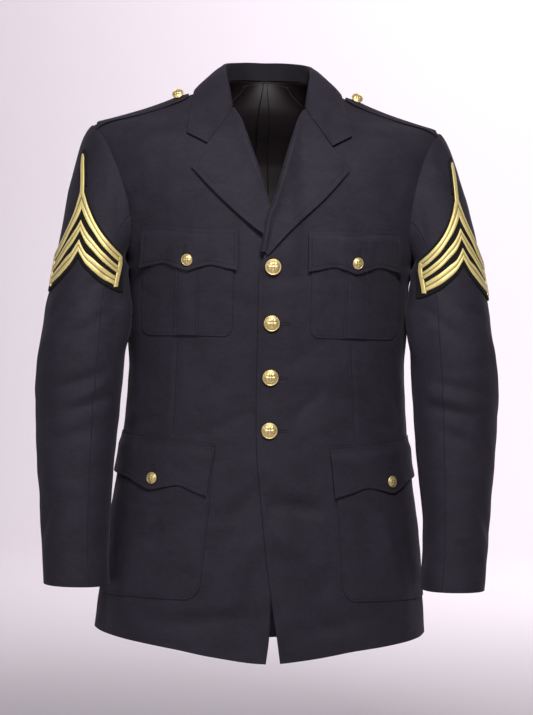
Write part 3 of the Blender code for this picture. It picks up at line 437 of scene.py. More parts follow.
def gold_material():
    m = bpy.data.materials.new("polished_gold")
    t, b = nodes_of(m)
    co = add_node(t, "ShaderNodeTexCoord")
    wear = add_node(t, "ShaderNodeTexNoise")
    wear.inputs["Scale"].default_value = 380.0
    wear.inputs["Detail"].default_value = 3.0
    t.links.new(co.outputs["Object"], wear.inputs["Vector"])
    ramp = add_node(t, "ShaderNodeValToRGB")
    ramp.color_ramp.elements[0].position = 0.3
    ramp.color_ramp.elements[0].color = (0.86, 0.62, 0.20, 1)
    ramp.color_ramp.elements[1].position = 0.7
    ramp.color_ramp.elements[1].color = (1.0, 0.86, 0.46, 1)
    t.links.new(wear.outputs[0], ramp.inputs[0])
    # painted shade: a per-point value, low in the button's groove, between its petals and on its underside, darkens the
    # colour
    height = add_node(t, "ShaderNodeAttribute", attribute_name="painted_hollow_shade")
    deep = add_node(t, "ShaderNodeMapRange")
    deep.inputs["From Min"].default_value = 0.15
    deep.inputs["From Max"].default_value = 0.75
    deep.inputs["To Min"].default_value = 0.45
    deep.inputs["To Max"].default_value = 1.0
    t.links.new(height.outputs["Fac"], deep.inputs["Value"])
    shade = add_node(t, "ShaderNodeVectorMath", operation="SCALE")
    t.links.new(ramp.outputs[0], shade.inputs[0])
    t.links.new(deep.outputs[0], shade.inputs["Scale"])
    t.links.new(shade.outputs[0], b.inputs["Base Color"])
    spread = add_node(t, "ShaderNodeMapRange")
    spread.inputs["To Min"].default_value = 0.36
    spread.inputs["To Max"].default_value = 0.46
    t.links.new(wear.outputs[0], spread.inputs["Value"])
    t.links.new(spread.outputs[0], b.inputs["Roughness"])
    b.inputs["Metallic"].default_value = 0.72
    return m


COAT = cloth_material("navy_wool", (0.0094, 0.0078, 0.0130), (0.0246, 0.0208, 0.0330), 0.74, 0.08, 380.0)
# a darker copy of the wool for the collar stand inside the neck: painted shade
STAND_PAINTED_SHADE = cloth_material("stand_wool_painted_shade", (0.0045, 0.0038, 0.0056), (0.0110, 0.0095, 0.0135), 0.8, 0.04, 380.0)
BLACK = cloth_material("black_felt", (0.0035, 0.0035, 0.0045), (0.0080, 0.0078, 0.0095), 0.92, 0.05, 500.0, 0.5)
# a darker copy of the wool: painted shade in seams, stitch grooves and at cut edges; the buttonholes are made of it too
PAINTED_SHADE_THREAD = cloth_material("thread_and_painted_shade", (0.0060, 0.0055, 0.0080), (0.0140, 0.0125, 0.0180), 0.7, 0.05, 900.0, 0.4)
SATIN = satin_material()
GOLD_THREAD = braid_material()
GOLD = gold_material()
WORDS = {1: "left", -1: "right"}
FLAT = {}


# ---------------------------------------------------------------- building walls of cloth
def samples(length, pitch, thick, stitched=(), plain=False):
    """Places along a side, in metres from its start: even steps, closer at both edges and at the stitch lines."""
    n = max(int(round(length / pitch)), 2)
    at = list(np.linspace(0, length, n + 1))
    near = [] if plain else [thick * k for k in (0.12, 0.35, 0.8, 1.5)]
    for d in near:
        at += [d, length - d]
    for d in stitched:
        for k in (-0.0010, -0.00035, 0.00035, 0.0010):
            at += [d + k, length - d + k]
    at = sorted(a for a in at if 0 <= a <= length)
    keep = [at[0]]
    for a in at[1:]:
        if a - keep[-1] > thick * 0.10:
            keep.append(a)
    keep[-1] = length
    return np.array(keep)


def edge_round(d, thick):
    """How much of the thickness an edge loses at a distance d from it, on each face."""
    r = thick * 0.55
    t = np.clip(1 - d / r, 0, 1)
    return thick * 0.46 * (1 - np.sqrt(np.maximum(1 - t * t, 0)))


def mirror(p, side):
    q = p.copy()
    q[..., 0] = q[..., 0] * side + lean(q[..., 2])
    return q


def mesh_object(name, verts, faces, mat, uvs=None):
    mesh = bpy.data.meshes.new(name)
    mesh.from_pydata(verts.tolist() if hasattr(verts, "tolist") else verts, [], faces)
    if uvs is not None:
        layer = mesh.uv_layers.new(name="UVMap")
        index = np.empty(len(mesh.loops), dtype=np.int32)
        mesh.loops.foreach_get("vertex_index", index)
        layer.data.foreach_set("uv", np.asarray(uvs, float)[index].ravel())
    mesh.materials.append(mat)
    mesh.update()
    bm = bmesh.new()
    bm.from_mesh(mesh)
    bmesh.ops.recalc_face_normals(bm, faces=bm.faces)
    if bm.calc_volume(signed=True) < 0:
        bmesh.ops.reverse_faces(bm, faces=bm.faces)
    bm.to_mesh(mesh)
    bm.free()
    mesh.shade_smooth()
    o = bpy.data.objects.new(name, mesh)
    bpy.context.collection.objects.link(o)
    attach(o, "root")
    return o


def grid_faces(r, c, base, flip=False):
    i, j = np.meshgrid(np.arange(r - 1), np.arange(c - 1), indexing="ij")
    a = (i * c + j + base).ravel()
    q = np.stack([a, a + 1, a + c + 1, a + c], axis=1)
    return (q[:, ::-1] if flip else q).tolist()


def shell(name, outer, inner, mat, side=1, uvs=None):
    """A closed wall between two grids of points."""
    outer, inner = mirror(outer, side), mirror(inner, side)
    r, c = outer.shape[:2]
    n = r * c
    faces = grid_faces(r, c, 0) + grid_faces(r, c, n, True)
    rim = [i * c for i in range(r)] + [(r - 1) * c + j for j in range(1, c)]
    rim += [i * c + c - 1 for i in range(r - 2, -1, -1)] + [j for j in range(c - 2, 0, -1)]
    for a, b in zip(rim, rim[1:] + rim[:1]):
        faces.append([a, b, b + n, a + n])
    verts = np.concatenate([outer.reshape(-1, 3), inner.reshape(-1, 3)])
    if uvs is not None:
        uvs = np.concatenate([uvs.reshape(-1, 2)] * 2)
    return mesh_object(name, verts, faces, mat, uvs)


def tucked(outer, inner, normals, side="last", amount=1.0):
    """Adds a seam allowance to an edge: a strip that goes on past it and under the neighbour."""
    def pull(g):
        if side == "last":
            return g[:, -1], g[:, -3]
        if side == "first":
            return g[:, 0], g[:, 2]
        return g[-1], g[-3]
    e, before = pull((outer + inner) / 2)
    n = pull(np.broadcast_to(normals, outer.shape))[0]
    t = e - before
    t = unit(t - n * (t * n).sum(-1, keepdims=True))
    k = np.broadcast_to(np.asarray(amount, float), e.shape[:1])[:, None]
    new_o, new_i = e + (t * 0.0021 - n * 0.0012) * k, e + (t * 0.0021 - n * 0.0019) * k - n * 0.0001
    if side == "last":
        return np.concatenate([outer, new_o[:, None]], axis=1), np.concatenate([inner, new_i[:, None]], axis=1)
    if side == "first":
        return np.concatenate([new_o[:, None], outer], axis=1), np.concatenate([new_i[:, None], inner], axis=1)
    return np.concatenate([outer, new_o[None]], axis=0), np.concatenate([inner, new_i[None]], axis=0)


def widened(mask, side="last"):
    if side == "last":
        return np.concatenate([mask, mask[:, -1:]], axis=1)
    if side == "first":
        return np.concatenate([mask[:, :1], mask], axis=1)
    return np.concatenate([mask, mask[-1:]], axis=0)


def measure(p):
    """The flat width, length and area of a grid of points."""
    across = np.linalg.norm(np.diff(p, axis=1), axis=-1).sum(axis=1)
    along = np.linalg.norm(np.diff(p, axis=0), axis=-1).sum(axis=0)
    d1, d2 = p[1:, 1:] - p[:-1, :-1], p[1:, :-1] - p[:-1, 1:]
    area = 0.5 * np.linalg.norm(np.cross(d1, d2), axis=-1).sum()
    return float(across.max()), float(along.max()), float(area)


def stitch_line(d, place=0.006, depth=0.00022, width=0.0007):
    return -depth * np.exp(-((d - place) / width) ** 2)


def folds(p, table):
    """Soft troughs (negative) and ridges: each row is x0 z0 x1 z1 width depth, in the front view."""
    total = np.zeros(p.shape[:-1])
    for x0, z0, x1, z1, width, depth in table:
        dx, dz = x1 - x0, z1 - z0
        length2 = dx * dx + dz * dz
        t = ((p[..., 0] - x0) * dx + (p[..., 2] - z0) * dz) / length2
        c = np.clip(t, 0, 1)
        d2 = (p[..., 0] - x0 - c * dx) ** 2 + (p[..., 2] - z0 - c * dz) ** 2
        taper = np.clip(np.sin(np.clip(t, 0.0, 1.0) * math.pi), 0, 1) ** 0.6 * 0.85 + 0.15
        total += depth * taper * np.exp(-d2 / width ** 2)
    return total


def waves(p, seed, size, reach):
    """A gentle unevenness of the cloth."""
    r = np.random.default_rng(seed)
    total = np.zeros(p.shape[:-1])
    for _ in range(6):
        k = r.normal(size=3)
        k = k / np.linalg.norm(k) * (2 * math.pi / (reach * r.uniform(0.6, 1.7)))
        total += np.sin(p @ k + r.uniform(0, 6.28)) / 6
    return size * total


# ---------------------------------------------------------------- folds
# on the fronts, as seen from the front: each is a line from one point to another, its half width and its depth
FRONT_FOLDS = [
    (0.024, -0.446, 0.078, -0.392, 0.0075, -0.0012), (0.030, -0.466, 0.098, -0.432, 0.0090, 0.0009),
    (0.020, -0.372, 0.072, -0.338, 0.0080, -0.0009), (-0.020, -0.428, -0.092, -0.464, 0.0085, -0.0013),
    (-0.024, -0.404, -0.088, -0.424, 0.0080, 0.0008), (-0.020, -0.300, -0.070, -0.276, 0.0085, -0.0008),
    (0.000, -0.548, 0.074, -0.562, 0.0120, -0.0022), (0.004, -0.580, 0.050, -0.622, 0.0130, 0.0018),
    (-0.006, -0.520, -0.052, -0.575, 0.0110, -0.0015), (-0.018, -0.590, -0.046, -0.690, 0.0140, 0.0016),
    (-0.160, -0.712, -0.022, -0.698, 0.0110, -0.0018), (0.030, -0.716, 0.150, -0.700, 0.0110, -0.0014),
    (-0.212, -0.096, -0.184, -0.140, 0.0060, -0.0016), (-0.205, -0.122, -0.180, -0.172, 0.0060, 0.0010),
    (0.208, -0.140, 0.186, -0.186, 0.0065, -0.0012), (0.196, -0.100, 0.176, -0.150, 0.0080, 0.0008),
    (-0.150, -0.350, -0.182, -0.430, 0.0090, -0.0014), (0.146, -0.352, 0.180, -0.436, 0.0090, -0.0014),
    (-0.140, -0.440, -0.184, -0.456, 0.0070, -0.0012), (0.136, -0.444, 0.182, -0.452, 0.0070, -0.0012),
    (-0.182, -0.262, -0.150, -0.290, 0.0070, -0.0010), (0.184, -0.258, 0.152, -0.284, 0.0070, -0.0010),
    (0.150, -0.560, 0.196, -0.720, 0.0150, 0.0020), (-0.158, -0.560, -0.198, -0.720, 0.0150, 0.0020)]
# on the backs, in the same frame
BACK_FOLDS = [
    (0.178, -0.150, 0.120, -0.215, 0.0100, -0.0018), (-0.180, -0.156, -0.118, -0.224, 0.0100, -0.0018),
    (0.186, -0.200, 0.140, -0.280, 0.0100, 0.0014), (-0.186, -0.196, -0.138, -0.286, 0.0100, 0.0014),
    (0.020, -0.372, 0.120, -0.410, 0.0085, -0.0016), (-0.024, -0.384, -0.112, -0.404, 0.0085, -0.0014),
    (0.014, -0.430, 0.104, -0.446, 0.0080, -0.0014), (-0.014, -0.424, -0.110, -0.452, 0.0080, -0.0016),
    (0.060, -0.520, 0.076, -0.752, 0.0160, 0.0034), (-0.058, -0.530, -0.080, -0.752, 0.0160, 0.0032),
    (0.108, -0.540, 0.128, -0.748, 0.0140, -0.0028), (-0.112, -0.520, -0.126, -0.748, 0.0140, -0.0028),
    (0.150, -0.560, 0.178, -0.740, 0.0150, 0.0026), (-0.152, -0.560, -0.176, -0.740, 0.0150, 0.0026),
    (0.030, -0.040, 0.130, -0.070, 0.0120, -0.0010), (-0.034, -0.044, -0.124, -0.068, 0.0120, -0.0010)]
# on the sleeves: turn and height at both ends, in degrees and metres, half width and depth; turn 0 is the outer side, 90 the front
SLEEVE_FOLDS = {
    1: [(84, -0.112, 98, -0.172, 0.0045, -0.0008), (96, -0.136, 108, -0.196, 0.0050, -0.0009),
        (110, -0.262, 40, -0.306, 0.0080, -0.0016), (130, -0.292, 66, -0.344, 0.0080, -0.0016),
        (128, -0.388, 52, -0.404, 0.0085, -0.0022), (140, -0.420, 64, -0.432, 0.0080, -0.0024),
        (136, -0.404, 74, -0.418, 0.0070, 0.0014), (120, -0.450, 44, -0.480, 0.0085, -0.0018),
        (60, -0.552, 10, -0.598, 0.0090, -0.0014), (96, -0.596, 38, -0.632, 0.0085, -0.0014),
        (-60, -0.402, -128, -0.430, 0.0100, -0.0018), (-70, -0.330, -130, -0.300, 0.0090, -0.0014),
        (-50, -0.530, -110, -0.570, 0.0100, -0.0014), (30, -0.330, 6, -0.430, 0.0120, 0.0012)],
    -1: [(78, -0.104, 96, -0.160, 0.0045, -0.0011), (88, -0.128, 104, -0.184, 0.0045, -0.0010),
         (70, -0.116, 84, -0.162, 0.0040, 0.0007), (112, -0.256, 38, -0.312, 0.0080, -0.0018), (126, -0.300, 60, -0.352, 0.0080, -0.0014),
         (132, -0.380, 50, -0.412, 0.0085, -0.0024), (138, -0.416, 70, -0.438, 0.0080, -0.0022),
         (128, -0.398, 80, -0.424, 0.0070, 0.0014), (122, -0.458, 40, -0.474, 0.0085, -0.0018),
         (66, -0.546, 14, -0.604, 0.0090, -0.0016), (90, -0.602, 30, -0.630, 0.0085, -0.0014),
         (-64, -0.410, -126, -0.424, 0.0100, -0.0018), (-66, -0.336, -132, -0.306, 0.0090, -0.0014),
         (-54, -0.524, -112, -0.574, 0.0100, -0.0014), (26, -0.336, 4, -0.420, 0.0120, 0.0012)]}


def dent(p, side):
    """How far the body's cloth is pushed out or in, the same for every piece that lies there."""
    w = p.copy()
    w[..., 0] *= side
    x, y, z = np.abs(p[..., 0]), p[..., 1], p[..., 2]
    total = mix(1.7, 2.6, smooth(-z, 0.500, 0.560)) * folds(w, FRONT_FOLDS) * smooth(-y, 0.004, 0.040) + 1.2 * folds(w, BACK_FOLDS) * smooth(y, 0.004, 0.040)
    total = total + waves(w, 3, 0.0015, 0.110) + waves(w, 5, 0.0008, 0.045)
    low = smooth(-z, 0.560, 0.740)
    total = total + low * 0.0022 * np.sin(np.arctan2(w[..., 0], -y) * 7.0 + 0.6) * smooth(x, 0.03, 0.08)
    arm = ARMHOLE.front(np.maximum(z, ARMPIT_Z))
    away = np.where(z > ARMPIT_Z, np.abs(arm - x), np.hypot(x - 0.197, z - ARMPIT_Z))
    total = total * smooth(away, 0.0, 0.022) * smooth(-z, 0.030, 0.085)
    # beside the chest the coat fills out against the sleeves
    beside = smooth(x / BODY.width(z), 0.86, 0.97) * smooth(-z, 0.233, 0.243) * (1 - smooth(-z, 0.320, 0.375))
    return np.maximum(total, total * (1 - beside)) + 0.0035 * beside


def sleeve_dent(turn, down, side):
    p = sleeve(turn, down)
    z = p[..., 2]
    deg = np.degrees((turn + math.pi) % (2 * math.pi) - math.pi)
    flat = pts(deg / 57.3 * 0.056, 0.0, z)
    table = [(a / 57.3 * 0.056, za, b / 57.3 * 0.056, zb, w, d) for a, za, b, zb, w, d in SLEEVE_FOLDS[side]]
    w = p.copy()
    w[..., 0] *= side
    total = 1.9 * folds(flat, table) + waves(w, 11, 0.0014, 0.090) + waves(w, 12, 0.0007, 0.040)
    inner = (turn % (2 * math.pi)) - 2.71
    if side > 0:
        total = total - 0.0034 * np.exp(-((inner - 0.35) / 0.85) ** 2) * smooth(-z, 0.500, 0.575)
    full = np.exp(-(inner / 0.31) ** 2) * smooth(-z, 0.226, 0.242) * (1 - smooth(-z, 0.320, 0.375))
    return total * smooth(down, 0.02, 0.22) + 0.0105 * full * smooth(down, 0.0, 0.08)


# ---------------------------------------------------------------- the body's panels
def low_rows(edge, us, vs):
    us, vs = np.meshgrid(us, vs)
    z = np.full(us.shape, ARMPIT_Z)
    for _ in range(5):
        inner = angle_at(edge(z), z)
        a = mix(inner, math.pi / 2, us)
        z = mix(HEM.z(np.degrees(a)), ARMPIT_Z, vs)
    return a, z


def front(side, word):
    edge = FRONT_EDGE.over if side > 0 else FRONT_EDGE.under
    du = samples(0.250, 0.0036, WALL, (0.0060,))
    us = du / du[-1]
    dv = samples(0.520, 0.0036, WALL, plain=True)
    extra = [WALL * k for k in (0.12, 0.35, 0.8, 1.5)]
    dv = np.array(sorted(set(list(dv) + extra)))
    a1, z1 = low_rows(edge, us, dv[:-1] / dv[-1])
    v = np.linspace(0, 1, 68)
    u2, v2 = np.meshgrid(us, v)
    out_a, out_z = armhole(math.pi * (1 - v2))
    in_z = mix(ARMPIT_Z, NECK_Z, (1 - np.cos(math.pi * v2)) / 2)
    in_a = angle_at(edge(in_z), in_z)
    a2, z2 = mix(in_a, out_a, u2), mix(in_z, out_z, u2)
    a, z = np.concatenate([a1, a2]), np.concatenate([z1, z2])
    p = body(a, z)
    n = body_normal(a, z)
    d = dent(p, side)
    off = lap(p[..., 0], z) if side > 0 else np.zeros(z.shape)
    # darts and the front edge's stitching
    x0 = 0.105 if side > 0 else 0.121
    x1 = 0.1125 if side > 0 else 0.125
    t = np.clip((-0.337 - z) / 0.118, 0, 1)
    line = mix(x0, x1, t)
    dart = -0.0009 * np.exp(-((p[..., 0] - line) / 0.0022) ** 2) * smooth(z, -0.468, -0.448) * (1 - smooth(z, -0.350, -0.330))
    dart = dart + 0.0006 * np.exp(-((p[..., 0] - line - 0.006) / 0.004) ** 2) * smooth(z, -0.468, -0.440) * (1 - smooth(z, -0.360, -0.330))
    rows_below = smooth(-z, 0.225, 0.235)
    edge_d = np.broadcast_to(du[None, :], z.shape)
    sew = stitch_line(edge_d) * rows_below
    puff = 0.0005 * np.exp(-((edge_d - 0.003) / 0.003) ** 2) * rows_below
    lost = edge_round(np.minimum(du, du[-1] - du), WALL)[None, :] + np.zeros(z.shape)
    rise = np.minimum(np.arange(len(z)), 5)
    hem_d = np.concatenate([dv[:-1], np.full(len(v), 1.0)])
    top_d = np.concatenate([np.full(len(dv) - 1, 1.0), (1 - v) * 0.12])
    lost = np.maximum(lost, edge_round(np.minimum(hem_d, top_d), WALL)[:, None])
    outer = p + n * (off + d + dart + sew + puff - lost)[..., None]
    inner = p + n * (off + d - WALL + lost)[..., None]
    for g in (outer, inner):
        g[-1, :, 1] -= SEAM / 2
        g[:len(dv), -1, 1] -= SEAM / 2
    name = "cloth_front_" + word
    lined = (edge_d > 0.085) & (p[..., 2] > -0.700)
    outer, inner = tucked(outer, inner, n, "last", np.where(np.arange(len(z)) < len(dv), 1.0, 0.12))
    lined = widened(lined)
    top_n = np.concatenate([n, n[:, -1:]], axis=1)
    outer, inner = tucked(outer, inner, top_n, "top")
    lined = widened(lined, "top")
    finish_panel(name, outer, inner, side, "front_" + word, lined)
    # a strip of the darker material lying in the dart's seam groove, painted shade along the seam line, from under the
    # breast pocket to above the lower one
    across, height = np.meshgrid(np.linspace(-0.00035, 0.00035, 3), np.linspace(-0.462, -0.338, 60))
    run = mix(x0, x1, np.clip((-0.337 - height) / 0.118, 0, 1)) + across
    patch("dart_seam_" + word, angle_at(run, height), height, side, -0.0009, -0.0001 + 0 * height, None, mat=PAINTED_SHADE_THREAD, declare=False)


def finish_panel(name, outer, inner, side, node, lined):
    o = shell(name, outer, inner, COAT, side)
    if lined is not None:
        line_inside(o, outer.shape, lined)
    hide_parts(node)
    w, l, area = measure(outer)
    FLAT[name] = (round(w, 4), round(l, 4), round(min(max(area, 0.3 * w * l), w * l), 5))
    return o


def line_inside(o, shape, lined):
    """The hidden face away from the edges is the satin lining."""
    r, c = shape[:2]
    o.data.materials.append(SATIN)
    cells = (lined[:-1, :-1] & lined[1:, 1:]).ravel()
    index = np.zeros(len(o.data.polygons), dtype=np.int32)
    n = (r - 1) * (c - 1)
    index[n:2 * n] = np.where(cells, 1, 0)
    o.data.polygons.foreach_set("material_index", index)


def paint_shade(o, shape, mask, rim=True):
    """Paints shade with the darker material on the thread lines and cut edges of a piece's outer face, and on its rim
    walls when rim is set.
    """
    o.data.materials.append(PAINTED_SHADE_THREAD)
    index = np.zeros(len(o.data.polygons), dtype=np.int32)
    o.data.polygons.foreach_get("material_index", index)
    n = (shape[0] - 1) * (shape[1] - 1)
    cells = (mask[:-1, :-1] & mask[1:, 1:] & mask[1:, :-1] & mask[:-1, 1:]).ravel()
    index[:n] = np.where(cells, len(o.data.materials) - 1, index[:n])
    if rim:
        index[2 * n:] = len(o.data.materials) - 1
    o.data.polygons.foreach_set("material_index", index)


def back(side, word):
    du = samples(0.240, 0.0040, WALL)
    us = du / du[-1]
    dv = np.array(sorted(set(list(samples(0.520, 0.0040, WALL, plain=True)) + [WALL * k for k in (0.12, 0.35, 0.8, 1.5)])))
    u1, v1 = np.meshgrid(us, dv[:-1] / dv[-1])
    a1 = mix(math.pi, math.pi / 2, u1)
    z1 = mix(HEM.z(np.degrees(a1)), ARMPIT_Z, v1)
    v = np.linspace(0, 1, 64)
    u2, v2 = np.meshgrid(us, v)
    out_a, out_z = armhole(math.pi * (1 + v2))
    out_a = np.where(v2 < 1e-9, math.pi / 2, out_a)
    in_z = mix(ARMPIT_Z, 0.0245, (1 - np.cos(math.pi * v2)) / 2)
    a2, z2 = mix(math.pi, out_a, u2), mix(in_z, out_z, u2)
    part = 3 / 7
    nx = 0.068 * np.clip(us / part, 0, 1)
    nz = BACK_NECK.z(nx)
    top_a = np.where(us < part, math.pi - np.arcsin(np.clip(nx / BODY.width(nz), -1, 1)), math.pi / 2)
    top_z = np.where(us < part, nz, mix(NECK_Z, SHOULDER_Z, np.clip((us - part) / (1 - part), 0, 1)))
    w = np.clip((v2 - 0.72) / 0.28, 0, 1) ** 1.3
    a2, z2 = a2 + (top_a - a2[-1])[None, :] * w, z2 + (top_z - z2[-1])[None, :] * w
    a, z = np.concatenate([a1, a2]), np.concatenate([z1, z2])
    p, n = body(a, z), body_normal(a, z)
    d = dent(p, side)
    # the middle seam lies a little in the cloth
    d = d - 0.0007 * np.exp(-(p[..., 0] / 0.0035) ** 2)
    lost = edge_round(np.minimum(du, du[-1] - du), WALL)[None, :] + np.zeros(z.shape)
    hem_d = np.concatenate([dv[:-1], np.full(len(v), 1.0)])
    top_d = np.concatenate([np.full(len(dv) - 1, 1.0), (1 - v) * 0.12])
    lost = np.maximum(lost, edge_round(np.minimum(hem_d, top_d), WALL)[:, None])
    outer = p + n * (d - lost)[..., None]
    inner = p + n * (d - WALL + lost)[..., None]
    for g in (outer, inner):
        g[-1, :, 1] += SEAM / 2
        g[:len(dv), -1, 1] += SEAM / 2
        g[:, 0, 0] = SEAM / 2
    lined = p[..., 2] > -0.722
    if side > 0:
        outer, inner = tucked(outer, inner, n, "first")
        lined = widened(lined, "first")
    finish_panel("cloth_back_" + word, outer, inner, side, "back_" + word, lined)


def sleeve_piece(side, word, name, lo, hi):
    length = 0.23 if name == "top" else 0.14
    du = samples(length, 0.0036, WALL)
    turn = mix(lo + 0.0032, hi - 0.0032, du / du[-1])
    down = np.array(sorted(set([round(x, 6) for x in np.concatenate([
        np.linspace(0, 0.10, 12), np.linspace(0.10, 1, 66), np.linspace(1, 2, 104), [1.9995, 1.999, 1.998, 1.996]])])))
    t, d = np.meshgrid(turn, down)
    p = sleeve(t, d)
    n = sleeve_normal(t, np.maximum(d, 0.03))
    own, panel = sleeve_normal(turn, 0.03), body_normal(*armhole(turn))
    dot = smooth((own * panel).sum(-1), 0.0, 0.5)[:, None]
    rim = unit(own * (1 - dot) + panel * dot)
    w = np.clip(1 - d / 0.06, 0, 1)[..., None] ** 1.5
    n = unit(n * (1 - w) + rim[None, :, :] * w)
    away = unit(unit(sleeve(turn, np.full(turn.shape, 0.02)) - sleeve(turn, np.zeros(turn.shape))) + panel * (1 - dot))
    p = p + away[None, :, :] * w * SEAM * 1.5
    push = sleeve_dent(t, d, side)
    lost = edge_round(np.minimum(du, du[-1] - du), WALL)[None, :] + np.zeros(t.shape)
    ends = np.minimum(d * 0.30, (2 - d) * 0.363)
    lost = np.maximum(lost, edge_round(ends, WALL))
    # small gathers where the sleeve's head is set into the armhole
    head = 0.0005 * np.sin(t * 34.0) * np.exp(-((d - 0.05) / 0.05) ** 2) * smooth(np.cos(t), -0.2, 0.5)
    outer = p + n * (push + head - lost)[..., None]
    inner = p + n * (push + head - WALL + lost)[..., None]
    lined = (d > 0.01) & (d < 1.90)
    # the allowance that goes under the body's panel, round the armhole
    along = unit(np.gradient(sleeve(turn, np.zeros(turn.shape)), axis=0))
    into = unit(np.cross(panel, along))
    into = np.where((into * (p[3] - p[0])).sum(-1, keepdims=True) > 0, -into, into)
    ring = sleeve(turn, np.zeros(turn.shape))
    outer = np.concatenate([(ring + into * 0.0024 - panel * 0.0020)[None], outer])
    inner = np.concatenate([(ring + into * 0.0024 - panel * 0.0028)[None], inner])
    lined = np.concatenate([lined[:1], lined])
    if name == "top":
        wide_n = np.concatenate([n[:1], n])
        outer, inner = tucked(outer, inner, wide_n, "last")
        lined = widened(lined)
        wide_n = np.concatenate([wide_n, wide_n[:, -1:]], axis=1)
        outer, inner = tucked(outer, inner, wide_n, "first")
        lined = widened(lined, "first")
    finish_panel(f"cloth_{name}_sleeve_{word}", outer, inner, side, f"{name}_sleeve_{word}", lined)


def on_panel(a, z, side, off):
    """Points on the coat's body at a height above it, moved with its folds."""
    p, n = body(a, z), body_normal(a, z)
    return p + n * (off + dent(p, side))[..., None], n


def patch(name, a, z, side, low, high, node, stitched=None, lost=None, mat=None, uvs=None,
          declare=True):
    """A piece that lies on the body between two heights above it."""
    p, n = body(a, z), body_normal(a, z)
    d = dent(p, side)
    more = 0 if stitched is None else stitched
    less = 0 if lost is None else lost
    outer = p + n * (high + d + more - less)[..., None]
    inner = p + n * (low + d + less * 0.25 + np.zeros(z.shape))[..., None]
    o = shell(name, outer, inner, mat or COAT, side, uvs)
    if stitched is not None:
        # painted shade: the darker material on the stitch groove, on the rounded cut edges and on the rim walls
        paint_shade(o, z.shape, np.broadcast_to((stitched < 0.70 * np.min(stitched)) | (less > 0.00010), z.shape))
    if node:
        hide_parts(node)
    if declare:
        w, l, area = measure(outer)
        FLAT[name] = (round(w, 4), round(l, 4), round(min(max(area, 0.3 * w * l), w * l), 5))
    return o


def near_edges(du, dv, shape, top=True, bottom=True):
    """The distance to the nearest edge of a grid."""
    d = np.minimum(du, du[-1] - du)[None, :] + np.zeros(shape)
    if bottom:
        d = np.minimum(d, dv[:, None])
    if top:
        d = np.minimum(d, (dv[-1] - dv)[:, None])
    return d


def rounded(way, z_low, radius_way, drop):
    e = np.minimum(way, 1 - way)
    t = np.clip(1 - e / radius_way, 0, 1)
    return z_low + drop * (1 - np.sqrt(np.maximum(1 - t * t, 0)))


def over_pleat(x):
    return smooth(x, PLEAT_X[0] - 0.012, PLEAT_X[0] - 0.002) * (1 - smooth(x, PLEAT_X[1] + 0.002, PLEAT_X[1] + 0.012))


def breast_pocket(side, word):
    du = samples(0.119, 0.0025, THIN, (0.0022,))
    dv = samples(0.114, 0.0025, THIN, (0.0022,))
    w, v = np.meshgrid(du / du[-1], dv / dv[-1])
    x = mix(*BREAST_BAG_X, w)
    z = mix(rounded(w, -0.3340, 0.10, 0.013), -0.2180, v)
    e = near_edges(du, dv, z.shape, top=False)
    puff = 0.0012 * smooth(e, 0.0030, 0.030) + 0.0006 * smooth(e, 0.0, 0.0020)
    high = 0.0010 + puff + 0.0002 + 0 * z
    patch("cloth_breast_pocket_" + word, angle_at(x, z), z, side, 0.00015, np.minimum(high, BAG_OFF + THIN + 0.0001),
          "breast_pocket_" + word, stitch_line(e, 0.0026, 0.00045, 0.0008), edge_round(e, THIN))

    du = samples(0.0310, 0.0020, 0.0010, (0.0020,))
    dv = samples(0.1090, 0.0030, 0.0010)
    w, v = np.meshgrid(du / du[-1], dv / dv[-1])
    x, z = mix(*PLEAT_X, w), mix(-0.3325, -0.2230, v)
    e = near_edges(du, dv, z.shape, top=False, bottom=False)
    patch("cloth_breast_pleat_" + word, angle_at(x, z), z, side, BAG_OFF + THIN + 0.00025, PLEAT_OFF + 0.0008 + 0 * z,
          "breast_pleat_" + word, stitch_line(e, 0.0034, 0.00040), edge_round(e, 0.0012))

    du = samples(0.127, 0.0022, THIN, (0.0050,))
    dv = samples(0.052, 0.0020, THIN, (0.0050,))
    w, v = np.meshgrid(du / du[-1], dv / dv[-1])
    x, z = mix(*BREAST_X, w), mix(BREAST_FLAP.bottom(w), BREAST_FLAP.top(w), v)
    top = smooth(z, -0.2050, -0.1950)
    base = mix(FLAP_OFF + 0.0013 * over_pleat(x), 0.0004, top)
    e = near_edges(du, dv, z.shape)
    curl = np.exp(-(dv[:, None] / 0.012) ** 2) * (0.0010 + 0.0006 * np.cos(w * 12.0)) + 0.0007 * np.exp(-(np.minimum(du, du[-1] - du)[None, :] / 0.006) ** 2)
    patch("cloth_breast_flap_" + word, angle_at(x, z), z, side, base + curl * (1 - top), base + THIN + curl * (1 - top),
          "breast_flap_" + word, stitch_line(e, 0.0050, 0.00036), edge_round(e, THIN))


def flap_angle(side, way, z):
    way = way - LOWER_POINT[side] * np.sin(math.pi * way)
    return np.radians(mix(LOWER_INNER[side].flap(z), LOWER_OUTER[0], way))


